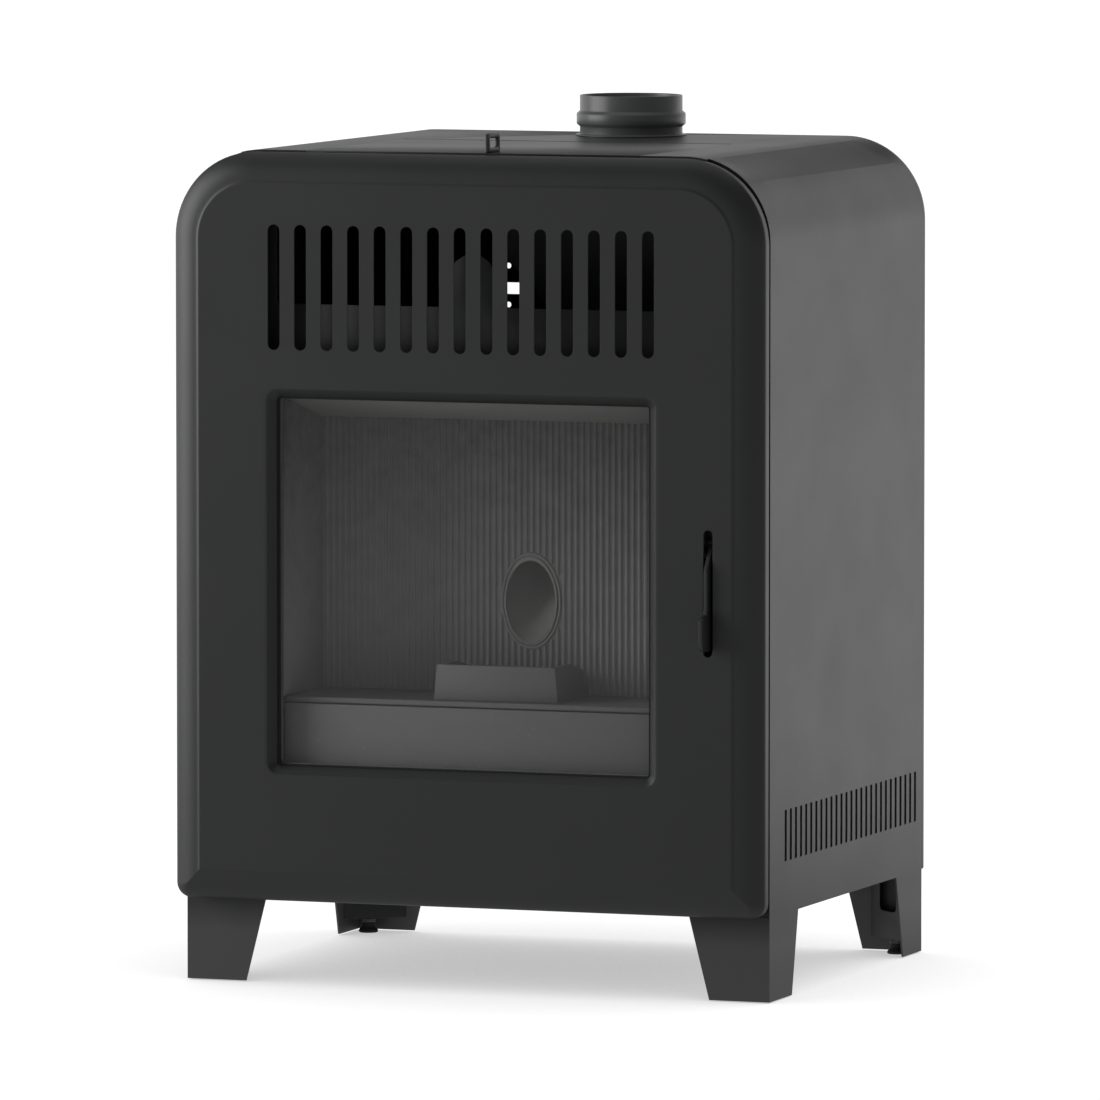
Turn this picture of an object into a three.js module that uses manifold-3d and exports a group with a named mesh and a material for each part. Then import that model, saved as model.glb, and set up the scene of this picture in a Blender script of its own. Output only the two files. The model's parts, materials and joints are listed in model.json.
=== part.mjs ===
// A free-standing pellet stove, built from separate pieces.
// Millimetres: X to the right, Y to the back, Z up from the floor. y = 0 is the front edge of the door's rim.
import * as THREE from 'three';
import { mergeVertices } from 'three/addons/utils/BufferGeometryUtils.js';
import Module from 'manifold-3d';

const wasm = await Module();
wasm.setup();

// ---- driving dimensions ----
// Fits
const seatGap = 0.3;           // between pieces that rest against each other
const runningGap = 0.5;        // round a piece that turns or slides
const tightGap = 0.1;          // between flat plates that are screwed together

// Casing
const bodyWidth = 490;
const roofTop = 663;           // top of the rolled side panels
const bodyBottom = 67.5;       // underside of the casing and top of the arches
const legBottom = 1;           // lower edge of the sheet legs; the feet reach the floor
const bodyFront = 18.5;
const bodyBack = 400;
const roofFront = 10.3;        // the flat of the roof runs forward over the gap behind the door
const roofFrontRun = 17;       // how far that flat runs on into the rolled shoulder, along X
const cornerRadius = 67;
const sheet = 1.5;
const roofStretch = 105;       // how far each side panel runs in over the roof
const legTopWidth = 67;
const legBottomWidth = 50;
const frontLegTop = 88.5;      // y where the arch starts at the casing's underside
const frontLegFoot = 73.3;
const rearLegTop = 334.6;
const rearLegFoot = 353;

// Side vents
const ventCount = 27;
const ventStart = 54;
const ventEnd = 385;
const ventWidth = 6;
const ventBottom = 108.5;
const ventTop = 149;

// Door
const doorOverhang = 2;        // how far the door stands out past the casing on each side
const doorWidth = bodyWidth + 2 * doorOverhang;
const doorBottom = 68;
const doorTop = 661.5;
const doorCorner = 68;
const doorFootCorner = 12;
const doorReturn = 9.5;        // y of the back edge of the door's return
const plateauFront = -10.6;    // y of the raised field's face
const plateauInset = 24;
const doorSheet = 2;
const featureCentre = -2.5;    // x of the window and slots, a little left of the middle

// Window
const windowWidth = 326;
const windowBottom = 169.5;
const windowTop = 475.5;
const windowCorner = 10;
const revealWidth = 6.4;
const glassThickness = 4;
const glassLap = 6;
const glassSealThickness = 1.4;
const glassSealShow = 1.8;     // how much of the black seal shows inside the reveal

// Air slots
const slotCount = 15;
const slotPitch = 22.36;
const slotWidth = 9.8;
const slotBottom = 506;
const slotTop = 605;

// Lever handle
const leverX = doorWidth / 2 - 43.3;
const leverThickness = 3;
const leverSlotWidth = 7.5;
const leverSlotBottom = 273.5;
const leverSlotTop = 372.7;
const leverPivotY = 2;
const leverPivotZ = 352;
const leverPinRadius = 2.5;
const leverReach = 18;         // how far the finger tab stands off the raised field

// Door hinge
const hingeX = 4 - doorWidth / 2;
const hingeY = 14;
const hingePinRadius = 2.5;
const knuckleRadius = 4;
const knuckleHeight = 27;
const hingeLug = 3;
const upperHingeBottom = 560;
const lowerHingeBottom = 130;

// Firebox
const fireboxHalfWidth = 160.5; // to the faces of the side plates
const liner = 3.7;
const shellWall = 3;
const shellFront = 12;
const shellBack = 107;
const shellBottom = 143;
const shellTop = 477;
const shellRim = 11;
const shelfTop = 229.5;
const shelfThickness = 4;
const ribPitch = 5.3;
const ribDepth = 2;
const backPlateFront = 97;
const baffleFrontZ = shellTop - 9;
const baffleBackZ = baffleFrontZ - 21;
const baffleThickness = 5;

// Burn pot, chute and fuel feed
const feedX = 13.5;            // middle of the pot and of the roof plates
const potWidth = 104;
const potFront = 27;
const potBack = 93;
const potTop = 257.5;
const potWall = 4;
const chuteX = 17.5;
const chuteZ = 304;
const chuteRadius = 22.5;
const chuteWall = 1.5;
const chuteAngle = 50;         // degrees below the horizontal
const augerY = 192;
const augerZ = 434;
const augerRadius = 31.5;
const augerWall = 3;
const augerLeft = chuteX - 39.5;
const augerRight = bodyWidth / 2 - 97;
const flightRadius = 27;
const flightPitch = 45;
const augerShaftRadius = 8;

// Roof and flue
const roofOpening = bodyWidth / 2 - roofStretch; // half the gap between the side panels over the roof
const roofSeam = 0.4;          // open seam round the lid and the rear top cover
const roofLedge = 10;          // width of the ledges that carry them
const lidHingeY = 227;
const lidKnuckleRadius = 2.5;
const lidPinRadius = 1.4;
const flueX = 12;
const flueY = 350;
const fluePipeRadius = 40;     // for 80 mm pellet flue pipe
const flueWall = 1.5;
const flueSocketRadius = 41.7;
const flueBeadRadius = 44.35;
const flueBeadBottom = 671;
const flueFlangeRadius = 45;
const flueTop = 696;

// Fans
const smokeFanX = -50;
const smokeFanZ = 180;
const smokeFanRadius = 62;
const smokeFanFront = 322;
const smokeFanBack = 376;
const smokeDuctRadius = 32;
const airPipeX = 90;
const airPipeZ = 180;
const airPipeRadius = 25;
const drumRadius = 26;
const drumY = 175;
const drumZ = 104;
const drumLeft = -150;
const drumRight = 100;

// Back
const rearCoverBack = 407;
const louvreColumns = 6;
const louvreRows = 2;
const louvreLeft = -168;
const louvreBottom = 83;
const louvreWidth = 36;
const louvreHeight = 6;
const louvrePitchX = 46;
const louvrePitchZ = 15;
const cableSlotX = -110;       // the slot and holes that daylight shows through, behind the door's slots
const cableSlotZ = 533.5;
const cableSlotWidth = 18;
const cableSlotHeight = 9.5;
const cableHoleRadius = 2.4;
const cableHolePlaces = [[-106, 562.5], [-86, 563], [-114, 552], [-114, 520]];
const footStud = 4;            // radius of a levelling foot's stud
const footInset = 15;          // from a foot's middle to the leg's two faces
const bracketFloor = 12;       // underside of the leg brackets' foot flange
const gussetReachX = 41;       // how far the slanted gusset runs along the leg's two faces
const gussetReachY = 36;
const gussetTab = 10;
const gussetWindow = 26;
const gussetWindowBottom = 34.5;
const gussetWindowTop = 61;

// ---- colours ----
const paint = { color: 0x2b2c2e, roughness: 0.6, metalness: 0.2 };
const castIron = { color: 0x3a3a3b, roughness: 0.8, metalness: 0.4 };
const zincSteel = { color: 0x8b8d90, roughness: 0.45, metalness: 0.8 };
const blackPlastic = { color: 0x161616, roughness: 0.5, metalness: 0 };
const ropeGrey = { color: 0x4a4a48, roughness: 1, metalness: 0 };
const glassTint = { color: 0x6f7375, roughness: 0.05, metalness: 0, transparent: true, opacity: 0.35 };
const greenBoard = { color: 0x2f5a3c, roughness: 0.6, metalness: 0 };

// ---- helpers ----
const degrees = Math.PI / 180;
const axisX = new THREE.Vector3(1, 0, 0);
const axisY = new THREE.Vector3(0, 1, 0);
const axisZ = new THREE.Vector3(0, 0, 1);
const uprightFrame = new THREE.Matrix4().makeBasis(axisX, axisZ, axisY.clone().negate());
const sideFrame = new THREE.Matrix4().makeBasis(axisY, axisZ, axisX);

function facesOut(position, index) {
  let volume = 0;
  const corner = [new THREE.Vector3(), new THREE.Vector3(), new THREE.Vector3()];
  for (let i = 0; i < index.length; i += 3) {
    corner.forEach((point, k) => point.fromArray(position, 3 * index[i + k]));
    volume += corner[0].dot(corner[1].clone().cross(corner[2]));
  }
  return volume > 0;
}

// A three.js geometry as a solid that can be cut and joined.
function solid(geometry) {
  const bare = geometry.clone();
  bare.deleteAttribute('normal');
  bare.deleteAttribute('uv');
  const merged = mergeVertices(bare, 1e-4);
  const vertProperties = new Float32Array(merged.attributes.position.array);
  const triVerts = new Uint32Array(merged.index.array);
  if (!facesOut(vertProperties, triVerts)) triVerts.reverse();
  return new wasm.Manifold(new wasm.Mesh({ numProp: 3, vertProperties, triVerts }));
}

function geometryOf(body) {
  const mesh = body.getMesh();
  const geometry = new THREE.BufferGeometry();
  geometry.setAttribute('position', new THREE.BufferAttribute(new Float32Array(mesh.vertProperties), 3));
  geometry.setIndex(new THREE.BufferAttribute(new Uint32Array(mesh.triVerts), 1));
  geometry.computeVertexNormals();
  return geometry;
}

function joined(...bodies) {
  return bodies.reduce((whole, body) => whole.add(body));
}

function without(body, ...cutters) {
  return cutters.reduce((rest, cutter) => rest.subtract(cutter), body);
}

function box(x0, x1, y0, y1, z0, z1) {
  const geometry = new THREE.BoxGeometry(x1 - x0, y1 - y0, z1 - z0);
  return solid(geometry.translate((x0 + x1) / 2, (y0 + y1) / 2, (z0 + z1) / 2));
}

function shapeOf(points) {
  return new THREE.Shape(points.map(([u, v]) => new THREE.Vector2(u, v)));
}

function slab(outline, depth) {
  return new THREE.ExtrudeGeometry(shapeOf(outline), { depth, bevelEnabled: false, steps: 1 });
}

// Outlines in (x, z), run along Y; in (y, z), run along X; in (x, y), run along Z.
function alongY(outline, y0, y1) {
  return solid(slab(outline, y1 - y0).applyMatrix4(uprightFrame).translate(0, y1, 0));
}

function alongX(outline, x0, x1) {
  return solid(slab(outline, x1 - x0).applyMatrix4(sideFrame).translate(x0, 0, 0));
}

function alongZ(outline, z0, z1) {
  return solid(slab(outline, z1 - z0).translate(0, 0, z0));
}

function rodX(radius, x0, x1, y, z, sides = 16) {
  const geometry = new THREE.CylinderGeometry(radius, radius, x1 - x0, sides);
  return solid(geometry.rotateZ(-Math.PI / 2).translate((x0 + x1) / 2, y, z));
}

function rodY(radius, y0, y1, x, z, sides = 16) {
  const geometry = new THREE.CylinderGeometry(radius, radius, y1 - y0, sides);
  return solid(geometry.translate(x, (y0 + y1) / 2, z));
}

function rodZ(radius, z0, z1, x, y, sides = 16) {
  const geometry = new THREE.CylinderGeometry(radius, radius, z1 - z0, sides);
  return solid(geometry.rotateX(Math.PI / 2).translate(x, y, (z0 + z1) / 2));
}

// A closed profile of [radius, z] points turned about an upright axis.
function turned(profile, x, y, sides = 40) {
  const points = [...profile, profile[0]].map(([radius, z]) => new THREE.Vector2(radius, z));
  return solid(new THREE.LatheGeometry(points, sides).rotateX(Math.PI / 2).translate(x, y, 0));
}

function arcPoints(cx, cy, radius, from, to, steps) {
  return Array.from({ length: steps + 1 }, (_, i) => {
    const angle = (from + ((to - from) * i) / steps) * degrees;
    return [cx + radius * Math.cos(angle), cy + radius * Math.sin(angle)];
  });
}

// A rectangle with rounded corners, larger or smaller by inset, always with the same count of points.
function roundedOutline(rectangle, inset = 0) {
  const { left, right, bottom, top, topRadius, bottomRadius, topSteps = 2, bottomSteps = 2 } = rectangle;
  const leastRadius = 0.6;
  const rt = Math.max(topRadius - inset, leastRadius);
  const rb = Math.max(bottomRadius - inset, leastRadius);
  const [l, r, b, t] = [left + inset, right - inset, bottom + inset, top - inset];
  return [
    ...arcPoints(r - rb, b + rb, rb, -90, 0, bottomSteps),
    ...arcPoints(r - rt, t - rt, rt, 0, 90, topSteps),
    ...arcPoints(l + rt, t - rt, rt, 90, 180, topSteps),
    ...arcPoints(l + rb, b + rb, rb, 180, 270, bottomSteps),
  ];
}

// Rings of equal count, each { outline, w }, skinned in order; closed joins the last ring to the first.
function skinned(rings, closed) {
  const count = rings[0].outline.length;
  const position = rings.flatMap((ring) => ring.outline.flatMap(([u, v]) => [u, v, ring.w]));
  const index = [];
  const spans = closed ? rings.length : rings.length - 1;
  for (let r = 0; r < spans; r++) {
    const a = r * count;
    const b = ((r + 1) % rings.length) * count;
    for (let i = 0; i < count; i++) {
      const j = (i + 1) % count;
      index.push(a + i, a + j, b + j, a + i, b + j, b + i);
    }
  }
  if (!closed) {
    const last = rings.length - 1;
    const capOf = (r) => THREE.ShapeUtils.triangulateShape(
      rings[r].outline.map(([u, v]) => new THREE.Vector2(u, v)), []);
    capOf(0).forEach(([p, q, s]) => index.push(p, s, q));
    capOf(last).forEach((face) => index.push(...face.map((k) => last * count + k)));
  }
  const geometry = new THREE.BufferGeometry();
  geometry.setAttribute('position', new THREE.Float32BufferAttribute(position, 3));
  geometry.setIndex(index);
  return geometry;
}

// Rings of one rounded rectangle in the X-Z plane, from [inset, y] pairs.
function framed(rectangle, profile, closed = true) {
  const rings = profile.map(([inset, y]) => ({ outline: roundedOutline(rectangle, inset), w: -y }));
  return solid(skinned(rings, closed).applyMatrix4(uprightFrame));
}

// A funnel skinned from levels of [x0, x1, y0, y1, z].
function funnel(levels) {
  const rings = levels.map(([x0, x1, y0, y1, z]) => ({ outline: [[x0, y0], [x1, y0], [x1, y1], [x0, y1]], w: z }));
  return solid(skinned(rings, false));
}

const casing = new THREE.Group();
const frontDoor = new THREE.Group();
const firebox = new THREE.Group();
const fuelFeed = new THREE.Group();
const smokePath = new THREE.Group();
const roomAir = new THREE.Group();
const electrics = new THREE.Group();

function place(group, name, body, look) {
  const mesh = new THREE.Mesh(geometryOf(body), new THREE.MeshStandardMaterial(look));
  mesh.name = name;
  group.add(mesh);
}

const cornerSteps = 8;
const halfBody = bodyWidth / 2;
const insideWall = halfBody - sheet - seatGap;
const frameFront = bodyFront + sheet;
const mirrorX = (points) => points.map(([x, v]) => [-x, v]).reverse();

// ---- casing ----

// The right-hand outline of the casing from the roof to the leg's foot, inset by a distance.
function casingEdge(inset) {
  const centreX = halfBody - cornerRadius;
  const centreZ = roofTop - cornerRadius;
  return [
    [halfBody - roofStretch, roofTop - inset],
    ...arcPoints(centreX, centreZ, cornerRadius - inset, 90, 0, cornerSteps),
    [halfBody - inset, legBottom],
  ];
}

// Joggled ledges under the roof's edge, in front of and behind the lid's hinge.
const ledgeSpans = [[frameFront + 2 * sheet, lidHingeY - 4], [lidHingeY + 4.5, bodyBack - 2]];

function roofLedgeStrip(turnSpan, [y0, y1]) {
  const [low, high] = [roofTop - 2 * sheet - seatGap, roofTop - sheet - seatGap];
  const inner = roofOpening - roofLedge;
  return joined(
    box(...turnSpan([inner, roofOpening + 2]), y0, y1, low, high),
    box(...turnSpan([roofOpening + seatGap, roofOpening + 2]), y0, y1, low, high + seatGap + tightGap),
  );
}

function sidePanel(side) {
  const turn = side > 0 ? (points) => points : mirrorX;
  const turnSpan = ([a, b]) => (side > 0 ? [a, b] : [-b, -a]);
  const wrap = [...casingEdge(0), ...casingEdge(sheet).reverse()];
  const legFace = [
    [halfBody - legTopWidth, bodyBottom],
    [halfBody - legBottomWidth, legBottom],
    [halfBody, legBottom],
    [halfBody, bodyBottom],
  ];
  const arch = [
    [frontLegTop, bodyBottom],
    [frontLegFoot, legBottom],
    [frontLegFoot, -1],
    [rearLegFoot, -1],
    [rearLegFoot, legBottom],
    [rearLegTop, bodyBottom],
  ];
  const reach = side > 0 ? [halfBody - 2 * sheet, halfBody + 1] : [-halfBody - 1, -halfBody + 2 * sheet];
  const pitch = (ventEnd - ventStart - ventWidth) / (ventCount - 1);
  const vents = Array.from({ length: ventCount }, (_, i) => {
    const y = ventStart + ventWidth / 2 + i * pitch;
    return box(...reach, y - ventWidth / 2, y + ventWidth / 2, ventBottom, ventTop);
  });
  const [roofFrom, flatEnd] = [roofOpening, halfBody - cornerRadius + roofFrontRun];
  const brow = alongY(turn(wrap), roofFront, bodyFront + 1).intersect(
    box(...turnSpan([roofFrom, flatEnd]), roofFront, bodyFront + 1, roofTop - 2 * sheet, roofTop));
  const whole = joined(
    alongY(turn(wrap), bodyFront, bodyBack),
    brow,
    ...ledgeSpans.map((span) => roofLedgeStrip(turnSpan, span)),
    alongY(turn(legFace), bodyFront, bodyFront + sheet),
    alongY(turn(legFace), bodyBack - sheet, bodyBack),
  );
  return without(whole, alongX(arch, ...reach), ...vents);
}

const innerCasing = {
  left: -insideWall,
  right: insideWall,
  bottom: bodyBottom,
  top: roofTop - sheet - seatGap,
  topRadius: cornerRadius - sheet - seatGap,
  bottomRadius: 1,
  topSteps: cornerSteps,
  bottomSteps: 1,
};

const airOpening = {
  left: 77 - halfBody,
  right: halfBody - 77,
  bottom: shellTop + 64,
  top: slotTop + 35,
  topRadius: 4,
  bottomRadius: 4,
};

function frontFrame() {
  const opening = {
    left: -fireboxHalfWidth - liner - shellWall - 2 * seatGap,
    right: fireboxHalfWidth + liner + shellWall + 2 * seatGap,
    bottom: shellBottom - seatGap,
    top: shellTop + seatGap,
    topRadius: 1,
    bottomRadius: 1,
  };
  const frameBack = frameFront + sheet;
  return without(
    alongY(roundedOutline(innerCasing), frameFront, frameBack),
    alongY(roundedOutline(opening), frameFront - 1, frameBack + 1),
    alongY(roundedOutline(airOpening), frameFront - 1, frameBack + 1),
  );
}

// The lighter plate seen through the slots, with its round-topped tongue.
function airGuidePlate() {
  const left = airOpening.left + 8;
  const right = airOpening.right - 2;
  const tongueX = -2.5;
  const tongueRadius = 19.5;
  const tongueTop = airOpening.bottom + 42;
  const outline = [
    [left, shellTop + 2],
    [right, shellTop + 2],
    [right, airOpening.bottom],
    [tongueX + tongueRadius, airOpening.bottom],
    ...arcPoints(tongueX, tongueTop - tongueRadius, tongueRadius, 0, 180, 8),
    [tongueX - tongueRadius, airOpening.bottom],
    [left, airOpening.bottom],
  ];
  return alongY(outline, frameFront - tightGap - sheet, frameFront - tightGap);
}

const trayBottom = bodyBottom + seatGap;

function baseTray() {
  const front = frameFront + sheet + seatGap;
  const back = bodyBack - 2;
  const lip = 12;
  return without(
    joined(
      box(-insideWall, insideWall, front, back, trayBottom, trayBottom + sheet),
      box(-insideWall, -insideWall + sheet, front, back, trayBottom, trayBottom + lip),
      box(insideWall - sheet, insideWall, front, back, trayBottom, trayBottom + lip),
    ),
    box(drumLeft + 20, drumRight - 20, drumY - 25, drumY + 25, trayBottom - 1, trayBottom + sheet + 1),
  );
}

function rearCover() {
  const cover = {
    left: -halfBody,
    right: halfBody,
    bottom: bodyBottom,
    top: roofTop,
    topRadius: cornerRadius,
    bottomRadius: 1.6,
    topSteps: cornerSteps,
  };
  const front = bodyBack + seatGap;
  const tray = without(
    framed(cover, [[0, front], [0, rearCoverBack - 1.5], [1.5, rearCoverBack]], false),
    framed(cover, [[sheet, front - 1], [sheet, rearCoverBack - sheet]], false),
  );
  const louvres = [];
  for (let column = 0; column < louvreColumns; column++) {
    for (let row = 0; row < louvreRows; row++) {
      const x = louvreLeft + column * louvrePitchX;
      const z = louvreBottom + row * louvrePitchZ;
      louvres.push(box(x, x + louvreWidth, front, rearCoverBack + 1, z, z + louvreHeight));
    }
  }
  const cableHoles = cableHolePlaces.map(([x, z]) => rodY(cableHoleRadius, front, rearCoverBack + 1, x, z, 8));
  return without(
    tray,
    ...louvres,
    ...cableHoles,
    box(cableSlotX - cableSlotWidth / 2, cableSlotX + cableSlotWidth / 2, front, rearCoverBack + 1,
      cableSlotZ - cableSlotHeight / 2, cableSlotZ + cableSlotHeight / 2),
    rodY(airPipeRadius + runningGap, front, rearCoverBack + 1, airPipeX, airPipeZ, 32),
    box(inletLeft - seatGap, inletRight + seatGap, front, rearCoverBack + 1,
      inletBottom - seatGap, inletTop + seatGap),
  );
}

// Where the leg's two faces meet, seen from inside: [x, y] and the signs that lead away from the corner.
function legCorner(side, front) {
  const y = front ? bodyFront + sheet + seatGap : bodyBack - sheet - seatGap;
  return { x: side * insideWall, y, awayX: -side, awayY: front ? 1 : -1 };
}

// A gusset bent from one strip, slanted across the leg's corner, with a flange for the foot's stud.
function legBracket(side, front) {
  const { x, y, awayX, awayY } = legCorner(side, front);
  const place = ([u, v]) => [x + awayX * u, y + awayY * v];
  const length = Math.hypot(gussetReachX, gussetReachY);
  const bendX = (sheet * (length + gussetReachX)) / gussetReachY;
  const bendY = (sheet * (length + gussetReachY)) / gussetReachX;
  const strip = [
    [0, gussetReachY], [0, gussetReachY - gussetTab],
    [sheet, gussetReachY - gussetTab], [sheet, gussetReachY - bendY],
    [gussetReachX - bendX, sheet], [gussetReachX - gussetTab, sheet],
    [gussetReachX - gussetTab, 0], [gussetReachX, 0],
  ];
  const flange = [[0, 0], [gussetReachX, 0], [0, gussetReachY]];
  const window = slab(roundedOutline({
    left: -gussetWindow / 2, right: gussetWindow / 2, bottom: gussetWindowBottom, top: gussetWindowTop,
    topRadius: 4, bottomRadius: 4,
  }), 10).applyMatrix4(uprightFrame).translate(0, 5, 0);
  window.rotateZ(Math.atan2(awayY * gussetReachY, -awayX * gussetReachX));
  const [middleX, middleY] = place([gussetReachX / 2, gussetReachY / 2]);
  const [studX, studY] = footPlace(side, front);
  return without(
    joined(
      alongZ(strip.map(place), bracketFloor, bodyBottom - seatGap),
      alongZ(flange.map(place), bracketFloor, bracketFloor + sheet),
    ),
    solid(window.translate(middleX, middleY, 0)),
    rodZ(footStud + seatGap, 0, 30, studX, studY),
  );
}

function footPlace(side, front) {
  const { x, y, awayX, awayY } = legCorner(side, front);
  return [x + awayX * (footInset - sheet), y + awayY * footInset];
}

function foot(side, front) {
  const seat = bracketFloor - seatGap;
  return turned([
    [0, 0], [8, 0], [8, 2], [6.6, 3.6], [4.6, 6.5], [4.6, seat], [footStud, seat], [footStud, 30], [0, 30],
  ], ...footPlace(side, front), 12);
}

// ---- roof ----
// The lid and the rear top cover lie level with the side panels' roof; the lid's hinge is sunk between them.
const plateUnder = roofTop - sheet;
const plateHalf = roofOpening - roofSeam;
const lidAxisZ = roofTop - lidKnuckleRadius - tightGap;
const lidBack = lidHingeY - lidKnuckleRadius - runningGap;
const coverFront = lidHingeY + lidKnuckleRadius + runningGap + seatGap;

// A knuckle with the leaf that ties it to the plate's edge at y.
function knuckle([x0, x1], y) {
  const [y0, y1] = [Math.min(y, lidHingeY), Math.max(y, lidHingeY)];
  return joined(
    rodX(lidKnuckleRadius, x0, x1, lidHingeY, lidAxisZ, 12),
    box(x0, x1, y0 - tightGap, y1 + tightGap, plateUnder, roofTop - tightGap),
  );
}

const lidKnuckleEnd = plateHalf - 4;
const lidKnuckleLength = 30;
const coverKnuckleEnd = lidKnuckleEnd - lidKnuckleLength - runningGap;
const bothSides = (end) => [[-end, lidKnuckleLength - end], [end - lidKnuckleLength, end]];
const lidKnuckles = bothSides(lidKnuckleEnd);
const coverKnuckles = bothSides(coverKnuckleEnd);
const pinBore = rodX(lidPinRadius + tightGap * 2, -halfBody, halfBody, lidHingeY, lidAxisZ, 12);

function rearTopCover() {
  return without(
    joined(
      box(-plateHalf, plateHalf, coverFront, bodyBack - seatGap, plateUnder, roofTop),
      ...coverKnuckles.map((span) => knuckle(span, coverFront)),
    ),
    pinBore,
    rodZ(flueSocketRadius + seatGap, roofTop - 5, roofTop + 5, flueX, flueY, 40),
  );
}

function hopperLid() {
  const edge = plateHalf - roofLedge - 2;
  const [y0, y1] = [frameFront + 13, lidHingeY - 19];
  const [rimBottom, rimTop] = [plateUnder - 4, plateUnder + 0.5];
  const rim = without(
    box(-edge, edge, y0, y1, rimBottom, rimTop),
    box(sheet - edge, edge - sheet, y0 + sheet, y1 - sheet, rimBottom - 1, plateUnder),
  );
  return without(
    joined(
      box(-plateHalf, plateHalf, roofFront, lidBack, plateUnder, roofTop),
      rim,
      ...lidKnuckles.map((span) => knuckle(span, lidBack)),
    ),
    pinBore,
  );
}

function lidPull() {
  const height = 15.2;
  const length = 27;
  const width = 3;
  const bottom = roofTop + tightGap;
  const start = roofFront + 1.2;
  const outer = { left: start, right: start + length, bottom, top: bottom + height, topRadius: 2.5, bottomRadius: 1 };
  const inner = {
    left: start + 4, right: start + length - 4, bottom: bottom + 4, top: bottom + height - 4,
    topRadius: 1.5, bottomRadius: 1.5,
  };
  return without(
    alongX(roundedOutline(outer), flueX - width / 2, flueX + width / 2),
    alongX(roundedOutline(inner), flueX - width, flueX + width),
  );
}

// ---- door ----
const doorOutline = {
  left: -doorWidth / 2,
  right: doorWidth / 2,
  bottom: doorBottom,
  top: doorTop,
  topRadius: doorCorner,
  bottomRadius: doorFootCorner,
  topSteps: cornerSteps,
  bottomSteps: 3,
};
const windowOutline = {
  left: featureCentre - windowWidth / 2,
  right: featureCentre + windowWidth / 2,
  bottom: windowBottom,
  top: windowTop,
  topRadius: windowCorner,
  bottomRadius: windowCorner,
  topSteps: 4,
  bottomSteps: 4,
};
const plateauBack = plateauFront + doorSheet;
const revealBack = plateauFront + revealWidth + 1.2;
const sealFront = revealBack + tightGap;
const glassFront = sealFront + glassSealThickness + tightGap;
const innerFrameFront = glassFront + glassThickness + seatGap;
const innerFrameBack = innerFrameFront + sheet;

function slotOutline(x, bottom, top, width) {
  const radius = width / 2;
  return [...arcPoints(x, top - radius, radius, 0, 180, 4), ...arcPoints(x, bottom + radius, radius, 180, 360, 4)];
}

function doorPanel() {
  const skin = framed(doorOutline, [
    [0, doorReturn], [0, 2], [0.9, 0.2], [6, -4.3], [14, -7.8],
    [plateauInset - 1.7, plateauFront + 1.2], [plateauInset, plateauFront],
  ], false);
  const hollow = framed(doorOutline, [
    [doorSheet, doorReturn + 1], [doorSheet, 3.2], [7, -2], [15, -5.7], [plateauInset + 0.5, plateauBack],
  ], false);
  const lip = 1.2;
  const reveal = framed(windowOutline, [
    [0, plateauFront], [revealWidth, plateauFront + revealWidth],
    [revealWidth - lip, revealBack], [-lip, plateauFront + lip],
  ]);
  const through = [plateauFront - 1, plateauBack + 1];
  const slots = Array.from({ length: slotCount }, (_, i) => {
    const x = featureCentre + (i - (slotCount - 1) / 2) * slotPitch;
    return alongY(slotOutline(x, slotBottom, slotTop, slotWidth), ...through);
  });
  const leverSlot = slotOutline(leverX, leverSlotBottom, leverSlotTop, leverSlotWidth);
  const skinCut = without(skin, hollow, alongY(roundedOutline(windowOutline), ...through));
  return without(joined(skinCut, reveal), ...slots, alongY(leverSlot, ...through));
}

function doorInnerFrame() {
  const lap = doorSheet + seatGap;
  const plate = framed(doorOutline, [[lap, innerFrameFront], [lap, innerFrameBack]], false);
  const lipBack = doorReturn - 0.2;
  const lip = framed(doorOutline, [
    [lap, innerFrameFront], [lap, lipBack], [lap + sheet, lipBack], [lap + sheet, innerFrameFront],
  ]);
  const through = [innerFrameFront - 1, innerFrameBack + 1];
  const leverRoom = {
    left: leverX - 8,
    right: leverX + 8,
    bottom: leverSlotBottom - 8,
    top: leverSlotTop + 8,
    topRadius: 2,
    bottomRadius: 2,
  };
  const slotSpan = (slotCount * slotPitch) / 2;
  const airRoom = {
    left: featureCentre - slotSpan,
    right: featureCentre + slotSpan,
    bottom: slotBottom - 6,
    top: slotTop + 6,
    topRadius: 4,
    bottomRadius: 4,
  };
  const ears = [leverRoom.left - 3, leverRoom.right + 1].map((x) =>
    box(x, x + 2, leverPivotY - 7, innerFrameBack, leverPivotZ - 8, leverPivotZ + 8));
  const frame = without(
    joined(plate, lip, ...ears),
    alongY(roundedOutline(windowOutline, 8.5), ...through),
    alongY(roundedOutline(airRoom), ...through),
    alongY(roundedOutline(leverRoom), ...through),
    rodX(leverPinRadius + tightGap, leverX - 20, leverX + 20, leverPivotY, leverPivotZ),
  );
  const webRight = hingeX + 9;
  const knuckles = [upperHingeBottom, lowerHingeBottom].map((bottom) => {
    const [z0, z1] = [bottom + hingeLug + seatGap, bottom + hingeLug + knuckleHeight];
    return joined(
      rodZ(knuckleRadius, z0, z1, hingeX, hingeY),
      box(hingeX, webRight, hingeY - knuckleRadius, hingeY, z0, z1),
      box(webRight - sheet * 2, webRight, innerFrameFront, hingeY, z0, z1),
    );
  });
  return without(
    joined(frame, ...knuckles),
    rodZ(hingePinRadius + tightGap, 0, doorTop, hingeX, hingeY),
  );
}

function glassSeal() {
  const inner = revealWidth + glassSealShow;
  return framed(windowOutline, [
    [-glassLap + 1, sealFront], [inner, sealFront],
    [inner, sealFront + glassSealThickness], [-glassLap + 1, sealFront + glassSealThickness],
  ]);
}

function doorGlass() {
  return framed(windowOutline, [[-glassLap, glassFront], [-glassLap, glassFront + glassThickness]], false);
}

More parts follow.
